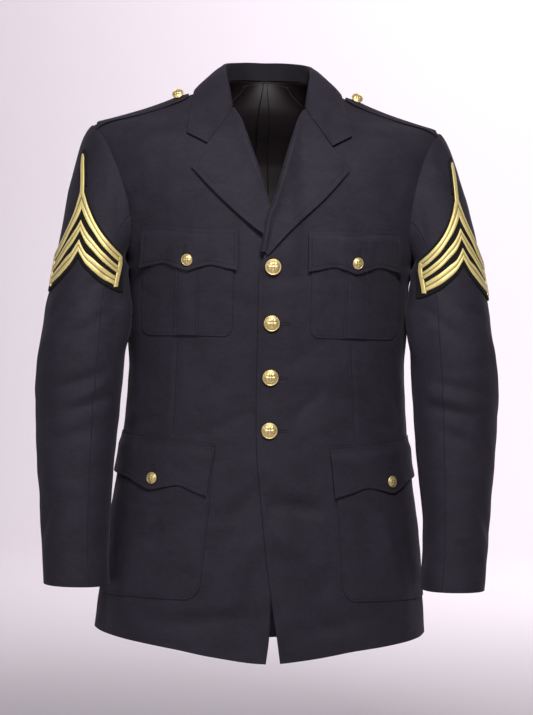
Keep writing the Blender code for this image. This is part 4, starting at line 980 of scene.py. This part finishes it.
def lower_pocket(side, word):
    du = samples(0.190, 0.0028, THIN, (0.0022,))
    dv = samples(0.182, 0.0028, THIN, (0.0022,))
    w, v = np.meshgrid(du / du[-1], dv / dv[-1])
    z = mix(rounded(w, -0.6780, 0.09, 0.020), -0.4960, v)
    a = np.radians(mix(LOWER_INNER[side].bag(z), LOWER_OUTER[1], w))
    e = near_edges(du, dv, z.shape, top=False)
    high = 0.0012 + 0.0006 * smooth(e, 0.0, 0.0020) + 0.0014 * smooth(e, 0.0030, 0.045) + 0 * z
    patch("cloth_lower_pocket_" + word, a, z, side, 0.00015, np.minimum(high, BAG_OFF + THIN + 0.0004 * smooth(e, 0.02, 0.05)),
          "lower_pocket_" + word, stitch_line(e, 0.0026, 0.00050, 0.0008), edge_round(e, THIN))

    du = samples(0.190, 0.0025, THIN, (0.0050,))
    dv = samples(0.066, 0.0022, THIN, (0.0030, 0.0055))
    w, v = np.meshgrid(du / du[-1], dv / dv[-1])
    z = mix(LOWER_FLAP.bottom(w), LOWER_FLAP.top(w), v)
    a = flap_angle(side, w, z)
    top = smooth(z - LOWER_FLAP.top(w), -0.0200, -0.0050)
    base = mix(FLAP_OFF + 0 * z, 0.0004, top)
    e = near_edges(du, dv, z.shape, top=False)
    et = (dv[-1] - dv)[:, None] + 0 * z
    sew = stitch_line(e, 0.0050, 0.00034) + stitch_line(et, 0.0030, 0.00050, 0.0008)
    curl = np.exp(-((dv[:, None]) / 0.014) ** 2) * (0.0011 + 0.0006 * np.cos(w * 11.0 + 0.6)) + 0.0009 * np.exp(-(du[None, :] / 0.007) ** 2)
    patch("cloth_lower_flap_" + word, a, z, side, base + curl * (1 - top), base + THIN + curl * (1 - top),
          "lower_flap_" + word, sew, edge_round(np.minimum(e, et), THIN))


# ---------------------------------------------------------------- lapels and collar
def gorge(u, end):
    u = np.asarray(u, float)
    out = []
    for k in (0, 1):
        a = mix(GORGE_TOP[k], NOTCH[k], u / 0.62)
        b = mix(NOTCH[k], end[k], (u - 0.62) / 0.38)
        out.append(np.where(u <= 0.62, a, b))
    return out


def roll_rise(u):
    return 0.0035 * np.maximum(1 - u / 0.3, 0.0) ** 2


def lapel(side, word):
    rows = samples(0.200, 0.0026, WALL, (0.0060,))
    t = rows / rows[-1]
    du = samples(0.085, 0.0024, WALL, (0.0060,))
    u = np.sort(np.unique(np.concatenate([du / du[-1], [0.62]])))
    du = u * 0.085
    uu, tt = np.meshgrid(u, t)
    roll_z = mix(LAPEL_LOW[side][2], GORGE_TOP[1], tt)
    roll_x = np.where(tt < 1, FRONT_EDGE.over(roll_z), GORGE_TOP[0])
    low, edge = LAPEL_LOW[side][:2], LAPEL_EDGE[side]
    gx, gz = gorge(uu, LAPEL_POINT)
    r0 = float(FRONT_EDGE.over(LAPEL_LOW[side][2])), LAPEL_LOW[side][2]
    point = []
    for k, (left, right, top) in enumerate(((roll_x, edge.x(tt), gx), (roll_z, edge.z(tt), gz))):
        bottom = mix(r0[k], low[k], uu)
        corners = mix(bottom, mix(GORGE_TOP[k], LAPEL_POINT[k], uu), tt)
        point.append(mix(left, right, uu) + mix(bottom, top, tt) - corners)
    x, z = point
    z = z - SEAM * 0.7 * smooth(tt, 0.97, 1.0)
    a = angle_at(x, z)
    p, n = body(a, z), body_normal(a, z)
    if side > 0:
        off = lap(p[..., 0], z) + ON + roll_rise(uu)
    else:
        off = ON + roll_rise(uu) * smooth(z, -0.165, -0.115)
    free = smooth(uu, 0.45, 1.0) * smooth(tt, 0.0, 0.10) * (1 - 0.55 * smooth(tt, 0.80, 1.0))
    off = off + free * (0.0022 if side > 0 else 0.0022 + 0.0040 * np.exp(-((tt - 0.10) / 0.16) ** 2))
    d = dent(p, side) + waves(p * [side, 1, 1], 21, 0.0005, 0.06)
    width = np.linalg.norm(p[:, -1] - p[:, 0], axis=-1)[:, None]
    e_out = (1 - uu) * width
    e_top = (1 - tt) * 0.19
    e = np.minimum(e_out, np.where(uu > 0.60, e_top, 1.0))
    sew = stitch_line(e, 0.0060, 0.00040, 0.0008)
    lost = np.maximum(edge_round(np.minimum(e_out, e_top), WALL), edge_round(tt * 0.19, WALL))
    outer = p + n * (off + WALL + d + sew - lost)[..., None]
    inner = p + n * (off + d + lost * 0.5)[..., None]
    # the roll: the cloth turns round the front's edge and into the coat
    along = unit(np.gradient(p[:, 0], axis=0))
    away = unit(np.cross(n[:, 0], along))
    away = np.where((away * (p[:, 1] - p[:, 0])).sum(-1, keepdims=True) > 0, -away, away)
    k = np.radians([150, 130, 110, 90, 72, 54, 38, 24, 12])
    edge_off = (lap(p[:, 0, 0], z[:, 0]) if side > 0 else np.zeros(len(z)))
    centre = p[:, 0] + n[:, 0] * (edge_off - WALL / 2 + d[:, 0])[:, None]
    top = off[:, 0] + WALL - edge_off + WALL / 2
    turn_o, turn_i = [], []
    for q in k:
        c, s = math.cos(q), math.sin(q)
        ro = np.where(c > 0, mix(top * 0.80, top, c), mix(top * 0.80, 0.0034, -c))
        ri = ro - WALL
        turn_o.append(centre + n[:, 0] * (ro * c)[:, None] + away * (ro * s)[:, None])
        turn_i.append(centre + n[:, 0] * (ri * c)[:, None] + away * (ri * s)[:, None])
    outer = np.concatenate([np.stack(turn_o, axis=1), outer], axis=1)
    inner = np.concatenate([np.stack(turn_i, axis=1), inner], axis=1)
    o = finish_panel("cloth_lapel_" + word, outer, inner, side, "lapel_" + word, None)
    # painted shade: the darker material along the lapel's stitch groove and on its rim walls
    seam = np.zeros(outer.shape[:2], bool)
    seam[:, len(k):] = (sew < -0.00030)
    paint_shade(o, outer.shape, seam)


def out_of_neck(p):
    v = p - np.array([0.0, 0.010, 0.0])
    v[..., 2] = 0
    return unit(v)


def collar():
    half = np.sort(np.unique(np.concatenate([np.linspace(0, 1, 62), [0.9985, 0.996, 0.992]])))
    ways = np.concatenate([-half[:0:-1], half])
    aw = np.abs(ways)
    sg = np.where(ways >= 0, 1.0, -1.0)

    def at(part):
        return pts(sg * getattr(COLLAR, part + "_x")(aw), getattr(COLLAR, part + "_y")(aw), getattr(COLLAR, part + "_z")(aw))
    f, e, s = at("fold"), at("edge"), at("seam")
    lift = shoulder_height(e[:, 0], e[:, 1]) + 0.0034
    e[:, 2] = np.where(aw > 0.42, np.maximum(e[:, 2], lift), e[:, 2])
    # the lift starts gently
    k = np.convolve(np.pad(e[:, 2], 3, mode="edge"), np.ones(7) / 7, mode="valid")
    e[:, 2] = np.where((aw > 0.30) & (aw < 0.60), np.maximum(k, np.where(aw > 0.42, lift, -1)), e[:, 2])
    o = out_of_neck(f)
    up = np.array([0, 0, 1.0])
    m = pts(mix(f[:, 0], e[:, 0], 0.62), mix(f[:, 1], e[:, 1], 0.62), mix(f[:, 2], e[:, 2], 0.18))
    start = f + o * 0.0042 + up * 0.0010
    near = smooth(aw, 0.80, 1.0)[:, None]
    U = np.concatenate([[0, 0.03, 0.06, 0.10, 0.15], np.linspace(0.15, 1, 40)[1:], [0.985, 0.993, 0.997]])
    U = np.sort(np.unique(np.concatenate([U, [0.62]])))
    fall = []
    for u in U:
        if u <= 0.15:
            q = u / 0.15 * math.pi / 2 * 1.15
            c = f + o * (0.0021 - 0.0021 * math.cos(min(q * 1.75, math.pi))) + up * (0.0016 * math.sin(min(q * 1.75, math.pi)) + 0.0010 * u / 0.15)
        else:
            t = (u - 0.15) / 0.85
            c = start * (1 - t) ** 2 + m * 2 * t * (1 - t) + e * t * t
        gx, gz = gorge(np.array(u), COLLAR_POINT)
        gz = gz + SEAM * 0.7
        a = angle_at(gx, gz)
        g = body(a, gz) + body_normal(a, gz) * (ON + WALL + roll_rise(u))
        gg = pts(sg * g[0], g[1] + 0 * sg, g[2] + 0 * sg)
        p = c * (1 - near) + gg * near
        if u > 0.10:
            h = shoulder_height(p[:, 0], p[:, 1]) + 0.0030
            p[:, 2] = np.maximum(p[:, 2], np.minimum(h, p[:, 2] + 0.02))
        fall.append(p)
    fall = np.stack(fall, axis=1)
    # the stand inside the neck, from its seam up to the fold
    T = np.concatenate([[0, 0.01, 0.03], np.linspace(0.06, 0.97, 16)])
    stand = []
    gs = fall[:, 0]
    for t in T:
        p = s * (1 - t) + gs * t
        stand.append(p - out_of_neck(p) * 0.0009 * (1 - smooth(t, 0.85, 1.0)) * (1 - near))
    grid = np.concatenate([np.stack(stand, axis=1), fall], axis=1)
    du = np.gradient(grid, axis=0)
    dv = np.gradient(grid, axis=1)
    n = unit(np.cross(du, dv))
    # a smoother normal, so that the hidden face doesn't fold on itself
    for _ in range(2):
        n[:, 1:-1] = unit(n[:, 1:-1] * 2 + n[:, :-2] + n[:, 2:])
        n[1:-1] = unit(n[1:-1] * 2 + n[:-2] + n[2:])
    width = np.linalg.norm(np.diff(grid, axis=1), axis=-1)
    run = np.concatenate([np.zeros((len(ways), 1)), np.cumsum(width, axis=1)], axis=1)
    e_out = run[:, -1:] - run
    e_end = np.minimum(1 - aw, 1.0)[:, None] * 0.25
    k = len(T)
    beyond = np.concatenate([np.zeros(k), U]) > 0.60
    e_d = np.minimum(e_out, np.where(beyond[None, :], e_end, 1.0))
    sew = stitch_line(e_d, 0.0060, 0.00022)
    lost = edge_round(np.minimum(e_out, e_end), WALL)
    wav = waves(grid, 31, 0.0005, 0.05) * smooth(e_out, 0, 0.02)
    outer = grid - n * (sew * 1 - lost + wav)[..., None]
    inner = grid + n * (WALL - lost * 0.5 - wav)[..., None]
    o = shell("cloth_collar", outer, inner, COAT)
    # the stand's cells get the darker wool: painted shade inside the neck
    o.data.materials.append(STAND_PAINTED_SHADE)
    index = np.zeros(len(o.data.polygons), dtype=np.int32)
    cells = np.zeros((outer.shape[0] - 1, outer.shape[1] - 1), dtype=np.int32)
    cells[:, :k + 1] = 1
    index[:2 * cells.size] = np.tile(cells.ravel(), 2)
    o.data.polygons.foreach_set("material_index", index)
    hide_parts("collar_fall", "collar_stand")
    w, l, area = measure(outer)
    FLAT["cloth_collar"] = (round(w, 4), round(l, 4), round(min(max(area, 0.3 * w * l), w * l), 5))


def lining():
    xs = np.sort(np.unique(np.concatenate([np.linspace(-0.105, 0.105, 70), [-0.0115, -0.0108, -0.0102, -0.0098, 0.0056, 0.0062, 0.0068]])))
    v = np.linspace(0, 1, 70)
    xx, vv = np.meshgrid(xs, v)
    x = xx * mix(1.0, 0.36, smooth(vv, 0.80, 1.0))
    ax = np.abs(x)
    z = mix(-0.270, np.minimum(BACK_NECK.z(ax) - 0.002, 0.0215), vv)
    a = angle_at(ax, z, True)
    pleat = smooth(xx, -0.0115, -0.0100) * (1 - smooth(xx, 0.0056, 0.0068))
    soft = 0.0010 * np.sin(xx * 150 + 0.8) * (1 - smooth(vv, 0.45, 0.75)) + 0.0007 * np.sin(xx * 260 + 2.0 + 2 * vv) * (1 - smooth(vv, 0.45, 0.75))
    deep = WALL + 0.0034 + 0.0060 * smooth(vv, 0.60, 0.95) + 0.0020 * pleat + soft
    p, n = body(a, z), body_normal(a, z)
    d = dent(p, 1)
    q, r = p - n * (deep - d)[..., None], p - n * (deep + 0.0009 - d)[..., None]
    for g in (q, r):
        g[..., 0] = np.where(x < 0, -g[..., 0], g[..., 0])
    o = shell("satin_lining", q, r, SATIN)
    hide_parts("back_lining")
    w, l, area = measure(q)
    FLAT["satin_lining"] = (round(w, 4), round(l, 4), round(min(max(area, 0.3 * w * l), w * l), 5))


def shoulder_point(x, y, rise):
    e = 1e-3
    z = shoulder_height(x, y)
    n = unit(pts(-(shoulder_height(x + e, y) - shoulder_height(x - e, y)) / 2 / e,
                 -(shoulder_height(x, y + e) - shoulder_height(x, y - e)) / 2 / e, 1.0))
    return pts(x, y, z) + n * np.asarray(rise + 0 * z)[..., None], n


def strap(side, word):
    du = samples(0.128, 0.0024, WALL, (0.0055,))
    dv = samples(0.044, 0.0022, WALL, (0.0055,))
    u, v = np.meshgrid(du / du[-1], dv / dv[-1])
    t = v * 2 - 1
    x = mix(*STRAP_X, u)
    half = mix(0.0195, 0.0245, u) * (0.30 + 0.70 * np.sqrt(np.clip(smooth(u, -0.05, 0.11), 0, 1)))
    y = t * (half + np.where(t < 0, 0.004, -0.004))
    e = np.minimum(np.minimum(dv, dv[-1] - dv)[:, None] + 0 * u, du[None, :] + 0 * u)
    eo = (du[-1] - du)[None, :] + 0 * u
    rise = 0.0006 + 0.0010 * smooth(u, 0.45, 0.9)
    rise = rise + 0.0012 * np.exp(-((u - 0.10) / 0.12) ** 2)
    top, n = shoulder_point(x, y, rise + WALL)
    less = edge_round(np.minimum(e, eo), WALL)
    sew = stitch_line(e, 0.0055, 0.00022)
    outer = top + n * (sew - less)[..., None]
    inner = top - n * (WALL - less * 0.5)[..., None]
    o = finish_panel("cloth_strap_" + word, outer, inner, side, "strap_" + word, None)
    # painted shade: the darker material along the strap's stitch groove and on its rim walls
    paint_shade(o, outer.shape, sew < -0.00014)


# ---------------------------------------------------------------- chevrons
def on_sleeve_fine(out, z, off, side):
    out, z, off = np.broadcast_arrays(np.asarray(out, float), np.asarray(z, float), np.asarray(off, float))
    turn, down = chart(out, z)
    return sleeve(turn, down) + sleeve_normal(turn, down) * (off + sleeve_dent(turn, down, side))[..., None]


def chart(out, z):
    turn_of, down_of = np.zeros(out.shape), np.zeros(out.shape)
    row = (z - LEVEL_Z[0]) / (LEVEL_Z[1] - LEVEL_Z[0])
    low = np.clip(np.floor(row).astype(int), 0, len(LEVEL_Z) - 2)
    f = np.clip(row - low, 0, 1)
    for k in (0, 1):
        share = f if k else 1 - f
        for r in np.unique(low + k):
            sel = (low + k) == r
            t, d, p = LEVELS[0][r], LEVELS[1][r], LEVELS[2][r]
            good = d > 1e-4
            t, d, p = t[good], d[good], p[good]
            run = np.concatenate([[0], np.cumsum(np.linalg.norm(np.diff(p, axis=0), axis=1))])
            want_x = CHEVRON_MIDDLE.x(LEVEL_Z[r])
            i = int(np.argmax(p[:, 0] >= want_x))
            middle = mix(run[i - 1], run[i], (want_x - p[i - 1, 0]) / (p[i, 0] - p[i - 1, 0])) if i > 0 else run[0]
            want = np.clip(middle - out[sel], run[0], run[-1])
            turn_of[sel] += share[sel] * np.interp(want, run, t)
            down_of[sel] += share[sel] * np.interp(want, run, d)
    return turn_of, down_of


def ribbon(name, side, out, z, base, height, mat, centre_line=False):
    """A raised, rounded stripe: out and z are grids whose rows run across it."""
    c = out.shape[0]
    v = np.linspace(-1, 1, c)
    arch = np.sqrt(np.clip(1 - np.abs(v) ** 2.6, 0, 1))
    if centre_line:
        arch = arch - 0.45 * np.exp(-(v / 0.16) ** 2)
    arch = np.clip(arch, 0.10, 1)
    off = base + height * arch[:, None] + 0 * out
    outer = on_sleeve_fine(out, z, off, side)
    inner = on_sleeve_fine(out, z, base + 0 * out, side)
    along = np.concatenate([[0], np.cumsum(np.linalg.norm(np.diff(outer[c // 2], axis=0), axis=1))])
    # the UVs' second coordinate is the place across the stripe; stripes without a centre groove are moved away from the
    # gold thread's painted groove shade
    uvs = np.stack(np.broadcast_arrays(along[None, :], (v * 0.005 + (0.0 if centre_line else 0.02))[:, None]), axis=-1)
    return shell(name, outer, inner, mat, side, uvs)


def chevron(side, word):
    # the black felt behind the stripes
    outs = np.linspace(-1, 1, 83)
    outs = 0.066 * np.sign(outs) * np.abs(outs) ** 1.3
    v = np.linspace(0, 1, 44)
    oo, vv = np.meshgrid(outs, v)
    a = np.abs(oo)
    z = mix(CHEVRON.back_lo(a), CHEVRON.back_hi(a), vv)
    edge = np.minimum(np.minimum(vv, 1 - vv) * 0.08, 0.066 - a)
    low = on_sleeve_fine(oo, z, BACKING_OFF - 0.0015 + 0 * z, side)
    high = on_sleeve_fine(oo, z, BACKING_OFF + BACKING - edge_round(edge, 0.0010) * 1.5, side)
    back_piece = shell("felt_chevron_" + word, high, low, BLACK, side)
    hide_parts("chevron_back_" + word)
    w, l, area = measure(high)
    FLAT["felt_chevron_" + word] = (round(w, 4), round(l, 4), round(area, 5))
    zz = np.linspace(-0.138, -0.0865, 22)
    oo, z = np.meshgrid(np.linspace(-1, 1, 9), zz)
    wide = 0.0066 * np.sqrt(np.clip((-0.0850 - z) / 0.010, 0.05, 1))
    tongue = shell("felt_stem_" + word, on_sleeve_fine(oo * wide, z, BACKING_OFF + BACKING * 0.98 - 0.0006 * np.abs(oo) ** 6, side),
                   on_sleeve_fine(oo * wide, z, BACKING_OFF - 0.0015 + 0 * z, side), BLACK, side)

    base = BACKING_OFF + BACKING + 0.00015
    for name, hi, lo, reach, node in (("upper", CHEVRON.top_hi, CHEVRON.top_lo, 0.0598, "chevron_top_"),
                                      ("middle", CHEVRON.mid_hi, CHEVRON.mid_lo, 0.0540, "chevron_mid_"),
                                      ("lower", CHEVRON.low_hi, CHEVRON.low_lo, 0.0505, "chevron_low_")):
        outs = np.linspace(-1, 1, 111)
        outs = reach * np.sign(outs) * np.abs(outs) ** 1.35
        v = (1 - np.cos(np.linspace(0, math.pi, 13))) / 2
        oo, vv = np.meshgrid(outs, v)
        a = np.abs(oo)
        z = mix(lo(a), hi(a), vv)
        o = ribbon(f"braid_{name}_{word}", side, oo, z, base, 0.0016, GOLD_THREAD, True)
        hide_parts(node + word)
    # the stem above and the bars that close the outer ends
    zz = np.linspace(-0.150, -0.0935, 34)
    across = (1 - np.cos(np.linspace(0, math.pi, 13))) - 1
    z, oo = np.meshgrid(zz, across)
    wide = 0.0034 * np.clip(np.sqrt(np.clip((-0.0930 - z) / 0.006, 0.02, 1)), 0, 1)
    o = ribbon(f"braid_stem_{word}", side, oo * wide, z, base + 0.0001, 0.0015, GOLD_THREAD)
    for end, s in (("front", 1), ("rear", -1)):
        zz = np.linspace(-0.2715, -0.2300, 30)
        z, oo = np.meshgrid(zz, across)
        middle = 0.0580 - 0.0050 * smooth(-z, 0.236, 0.274)
        o = ribbon(f"braid_{end}_bar_{word}", side, s * (middle + oo * 0.0030), z, base + 0.0001, 0.0015, GOLD_THREAD)


# ---------------------------------------------------------------- buttons and buttonholes
def button(name, point, normal, radius, side, node):
    """A turned, domed button with a beaded rim and a raised flower of a plain, common kind, with painted shade in its
    hollows.
    """
    ring = [(0.42, -0.10), (0.55, 0.00), (0.90, 0.03), (0.965, 0.09), (1.0, 0.17), (0.995, 0.235), (0.965, 0.285), (0.93, 0.30),
            (0.895, 0.29), (0.875, 0.265), (0.855, 0.262), (0.82, 0.290), (0.78, 0.318), (0.74, 0.345), (0.70, 0.368), (0.65, 0.393),
            (0.60, 0.415), (0.55, 0.435), (0.50, 0.452), (0.45, 0.467), (0.40, 0.480), (0.35, 0.491), (0.30, 0.500), (0.25, 0.508),
            (0.20, 0.514), (0.15, 0.519), (0.10, 0.522), (0.05, 0.524)]
    around = 72
    z = Vector(normal).normalized()
    x = Vector((1, 0, 0)).cross(z).normalized()
    y = z.cross(x)
    c = Vector(point)
    verts, painted_hollow_shade = [], []
    for i_ring, (r, h) in enumerate(ring):
        for k in range(around):
            q = 2 * math.pi * k / around
            up = 0.0
            if 0.16 < r < 0.74:
                s = (r - 0.16) / 0.58
                petal = max(0.0, math.cos(4 * q)) ** 0.6 * math.sin(math.pi * s) ** 0.8
                small = max(0.0, math.cos(4 * q + math.pi)) ** 1.2 * math.sin(math.pi * min(max((s - 0.25) / 0.75, 0), 1)) * 0.6
                up = 0.070 * max(petal, small) - 0.018
            elif r <= 0.16:
                up = 0.050 * (1 - (r / 0.16) ** 2)
            if 0.915 < r < 0.98:
                up += 0.018 * math.cos(q * 24)
            p = c + (x * math.cos(q) + y * math.sin(q)) * radius * r + z * radius * (h + up)
            verts.append((p.x * side + float(lean(p.z)), p.y, p.z))
            # painted shade: low values in the groove inside the rim, between the flower's petals and on the underside
            painted_hollow_shade.append(0.45 + up * 8 if r < 0.80 and i_ring > 4 else (0.15 if 0.84 < r < 0.885 or i_ring < 4 else 0.8))
    n = len(ring)
    faces = []
    for i in range(n - 1):
        for k in range(around):
            l = (k + 1) % around
            faces.append([i * around + k, i * around + l, (i + 1) * around + l, (i + 1) * around + k])
    p = c + z * radius * 0.575
    verts.append((p.x * side + float(lean(p.z)), p.y, p.z))
    painted_hollow_shade.append(0.9)
    top = len(verts) - 1
    for k in range(around):
        faces.append([(n - 1) * around + k, (n - 1) * around + (k + 1) % around, top])
    faces.append(list(range(around))[::-1])
    o = mesh_object(name, np.array(verts), faces, GOLD)
    layer = o.data.attributes.new("painted_hollow_shade", "FLOAT", "POINT")
    layer.data.foreach_set("value", painted_hollow_shade)
    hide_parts(node)
    return o


def loop_hole(name, centre_a, z, side, off, length, upright, tilt=0.0):
    """A worked buttonhole: a raised band of dark stitches round a slit, lying on the body's surface."""
    r = 0.0016
    line = []
    n = 40
    for k in range(n):
        q = 2 * math.pi * k / n
        c, s = math.cos(q), math.sin(q)
        line.append(((length / 2 - r) * (1 if c > 0 else -1) * min(1, abs(c) * 3) + r * c, r * s))
    w = 10
    verts, faces = [], []
    base_x = float(BODY.width(z)) * math.sin(centre_a)
    for u, v in line:
        for k in range(w):
            q = 2 * math.pi * k / w
            ru, rv = u * (1 + 0.00075 * math.cos(q) / max(abs(u), 0.0016)), v * (1 + 0.00075 * math.cos(q) / r)
            h = 0.00045 * math.sin(q)
            if upright:
                px, pz = base_x + rv, z + ru
            else:
                px, pz = base_x + ru, z + rv + tilt * ru
            a = angle_at(np.array(px), np.array(pz))
            p, nn = body(a, np.array(pz)), body_normal(a, np.array(pz))
            d = dent(p, side)
            l = lap(p[0], pz) if side > 0 else 0.0
            q3 = p + nn * (off + l + d + h)
            verts.append((q3[0] * side + float(lean(q3[2])), q3[1], q3[2]))
    m = len(line)
    for i in range(m):
        for k in range(w):
            j, l = (i + 1) % m, (k + 1) % w
            faces.append([i * w + k, j * w + k, j * w + l, i * w + l])
    o = mesh_object(name, np.array(verts), faces, PAINTED_SHADE_THREAD)


def spot(a, z, side, off):
    a, z = np.array(a, float), np.array(z, float)
    p, n = body(a, z), body_normal(a, z)
    return (p + n * (off + dent(p, side))).tolist(), n.tolist()


def buttons():
    for side, word in WORDS.items():
        x, y = 0.1190, -0.0100
        p, n = shoulder_point(np.array(x), np.array(y), 0.0006 + 0.0012 + WALL + 0.0042)
        n = unit(n + np.array([0.0, -0.95, 0.0]))
        button("gold_strap_button_" + word, p.tolist(), n.tolist(), SMALL_BUTTON, side, "button_strap_" + word)
        a = float(angle_at(np.array(0.1090), np.array(-0.2343)))
        p, n = spot(a, -0.2343, side, FLAP_OFF + 0.0013 + THIN + 0.0005)
        button("gold_breast_button_" + word, p, n, SMALL_BUTTON, side, "button_breast_" + word)
        a2 = float(flap_angle(side, 0.47, -0.5217))
        p, n = spot(a2, -0.5217, side, FLAP_OFF + THIN + 0.0006)
        button("gold_lower_button_" + word, p, n, SMALL_BUTTON, side, "button_lower_" + word)
        loop_hole("hole_breast_" + word, a, -0.2215, side, FLAP_OFF + 0.0013 + THIN - (LAP * 0 if side > 0 else 0), 0.011, True)
        loop_hole("hole_lower_" + word, a2, -0.5085, side, FLAP_OFF + THIN, 0.012, True)
    for k, z in enumerate(BUTTON_Z, 1):
        p, n = spot(0.0, z, 1, float(lap(np.array(0.0), np.array(z))) + 0.0006)
        button(f"gold_front_button_{k}", p, n, LARGE_BUTTON, 1, f"button_front_{k}")
        if k > 1:
            a = float(angle_at(np.array(0.0115), np.array(z)))
            loop_hole(f"hole_front_{k}", a, z, 1, 0.0001, 0.022, False)


for side, word in WORDS.items():
    front(side, word)
    back(side, word)
    sleeve_piece(side, word, "top", -5 * math.pi / 8, 5 * math.pi / 8)
    sleeve_piece(side, word, "under", 5 * math.pi / 8, 11 * math.pi / 8)
    lapel(side, word)
    strap(side, word)
    breast_pocket(side, word)
    lower_pocket(side, word)
    chevron(side, word)
collar()
lining()
buttons()


# ---------------------------------------------------------------- stage, light and camera
def stage_material():
    m = bpy.data.materials.new("pale_wall")
    t, b = nodes_of(m)
    b.inputs["Base Color"].default_value = (0.86, 0.80, 0.85, 1)
    b.inputs["Roughness"].default_value = 0.95
    b.inputs["Specular IOR Level"].default_value = 0.1
    return m


def backdrop():
    """A pale floor that curves up into a wall."""
    profile = [(-7.0, -1.02)]
    r, y0 = 1.6, 4.6
    profile.append((y0, -1.02))
    for k in range(1, 25):
        q = math.radians(90 * k / 24)
        profile.append((y0 + r * math.sin(q), -1.02 + r * (1 - math.cos(q))))
    profile.append((y0 + r, 7.0))
    verts, faces = [], []
    for y, z in profile:
        verts += [(-9.0, y, z), (9.0, y, z)]
    for i in range(len(profile) - 1):
        faces.append([2 * i, 2 * i + 1, 2 * i + 3, 2 * i + 2])
    mesh = bpy.data.meshes.new("backdrop")
    mesh.from_pydata(verts, [], faces)
    mesh.materials.append(stage_material())
    mesh.shade_smooth()
    o = bpy.data.objects.new("backdrop", mesh)
    bpy.context.collection.objects.link(o)


def lamp(name, place, target, size, power, colour=(1, 1, 1), size_y=None):
    data = bpy.data.lights.new(name, "AREA")
    data.energy = power
    data.size = size
    if size_y:
        data.shape, data.size_y = "RECTANGLE", size_y
    data.color = colour
    o = bpy.data.objects.new(name, data)
    o.location = place
    o.rotation_euler = (Vector(target) - Vector(place)).to_track_quat("-Z", "Y").to_euler()
    bpy.context.collection.objects.link(o)
    o.visible_camera = False
    return o


backdrop()
world = bpy.data.worlds.new("room")
world.use_nodes = True
world.node_tree.nodes["Background"].inputs["Color"].default_value = (0.93, 0.91, 0.95, 1)
world.node_tree.nodes["Background"].inputs["Strength"].default_value = 0.11
bpy.context.scene.world = world
lamp("key", (0.12, -1.40, 0.75), (0, 0, -0.15), 0.45, 26, (1.0, 0.975, 0.985))
lamp("fill", (-1.6, -2.0, 0.5), (0, 0, -0.20), 1.1, 12, (0.97, 0.97, 1.0))
lamp("top", (0.1, 0.5, 2.3), (0, 0, -0.1), 1.0, 2.5, (1.0, 0.98, 0.99))
lamp("wall", (1.8, 2.6, 2.6), (0.8, 6.2, 0.0), 2.2, 190, (1.0, 0.98, 1.0))
bpy.context.scene.view_settings.view_transform = "Standard"

data = bpy.data.cameras.new("camera")
data.lens, data.sensor_width, data.sensor_fit = 111.07, 36.0, "AUTO"
camera = bpy.data.objects.new("camera", data)
az = math.radians(2.5)
camera.location = (-3.0 * math.sin(az), -3.0 * math.cos(az), -0.360)
look = (Vector((0, 0, -0.360)) - camera.location).to_track_quat("-Z", "Y")
camera.rotation_mode = "QUATERNION"
camera.rotation_quaternion = look @ Matrix.Rotation(math.radians(1.15), 3, "Z").to_quaternion()
bpy.context.collection.objects.link(camera)
bpy.context.scene.camera = camera

for name in sorted(FLAT):
    print("flat", name, FLAT[name])
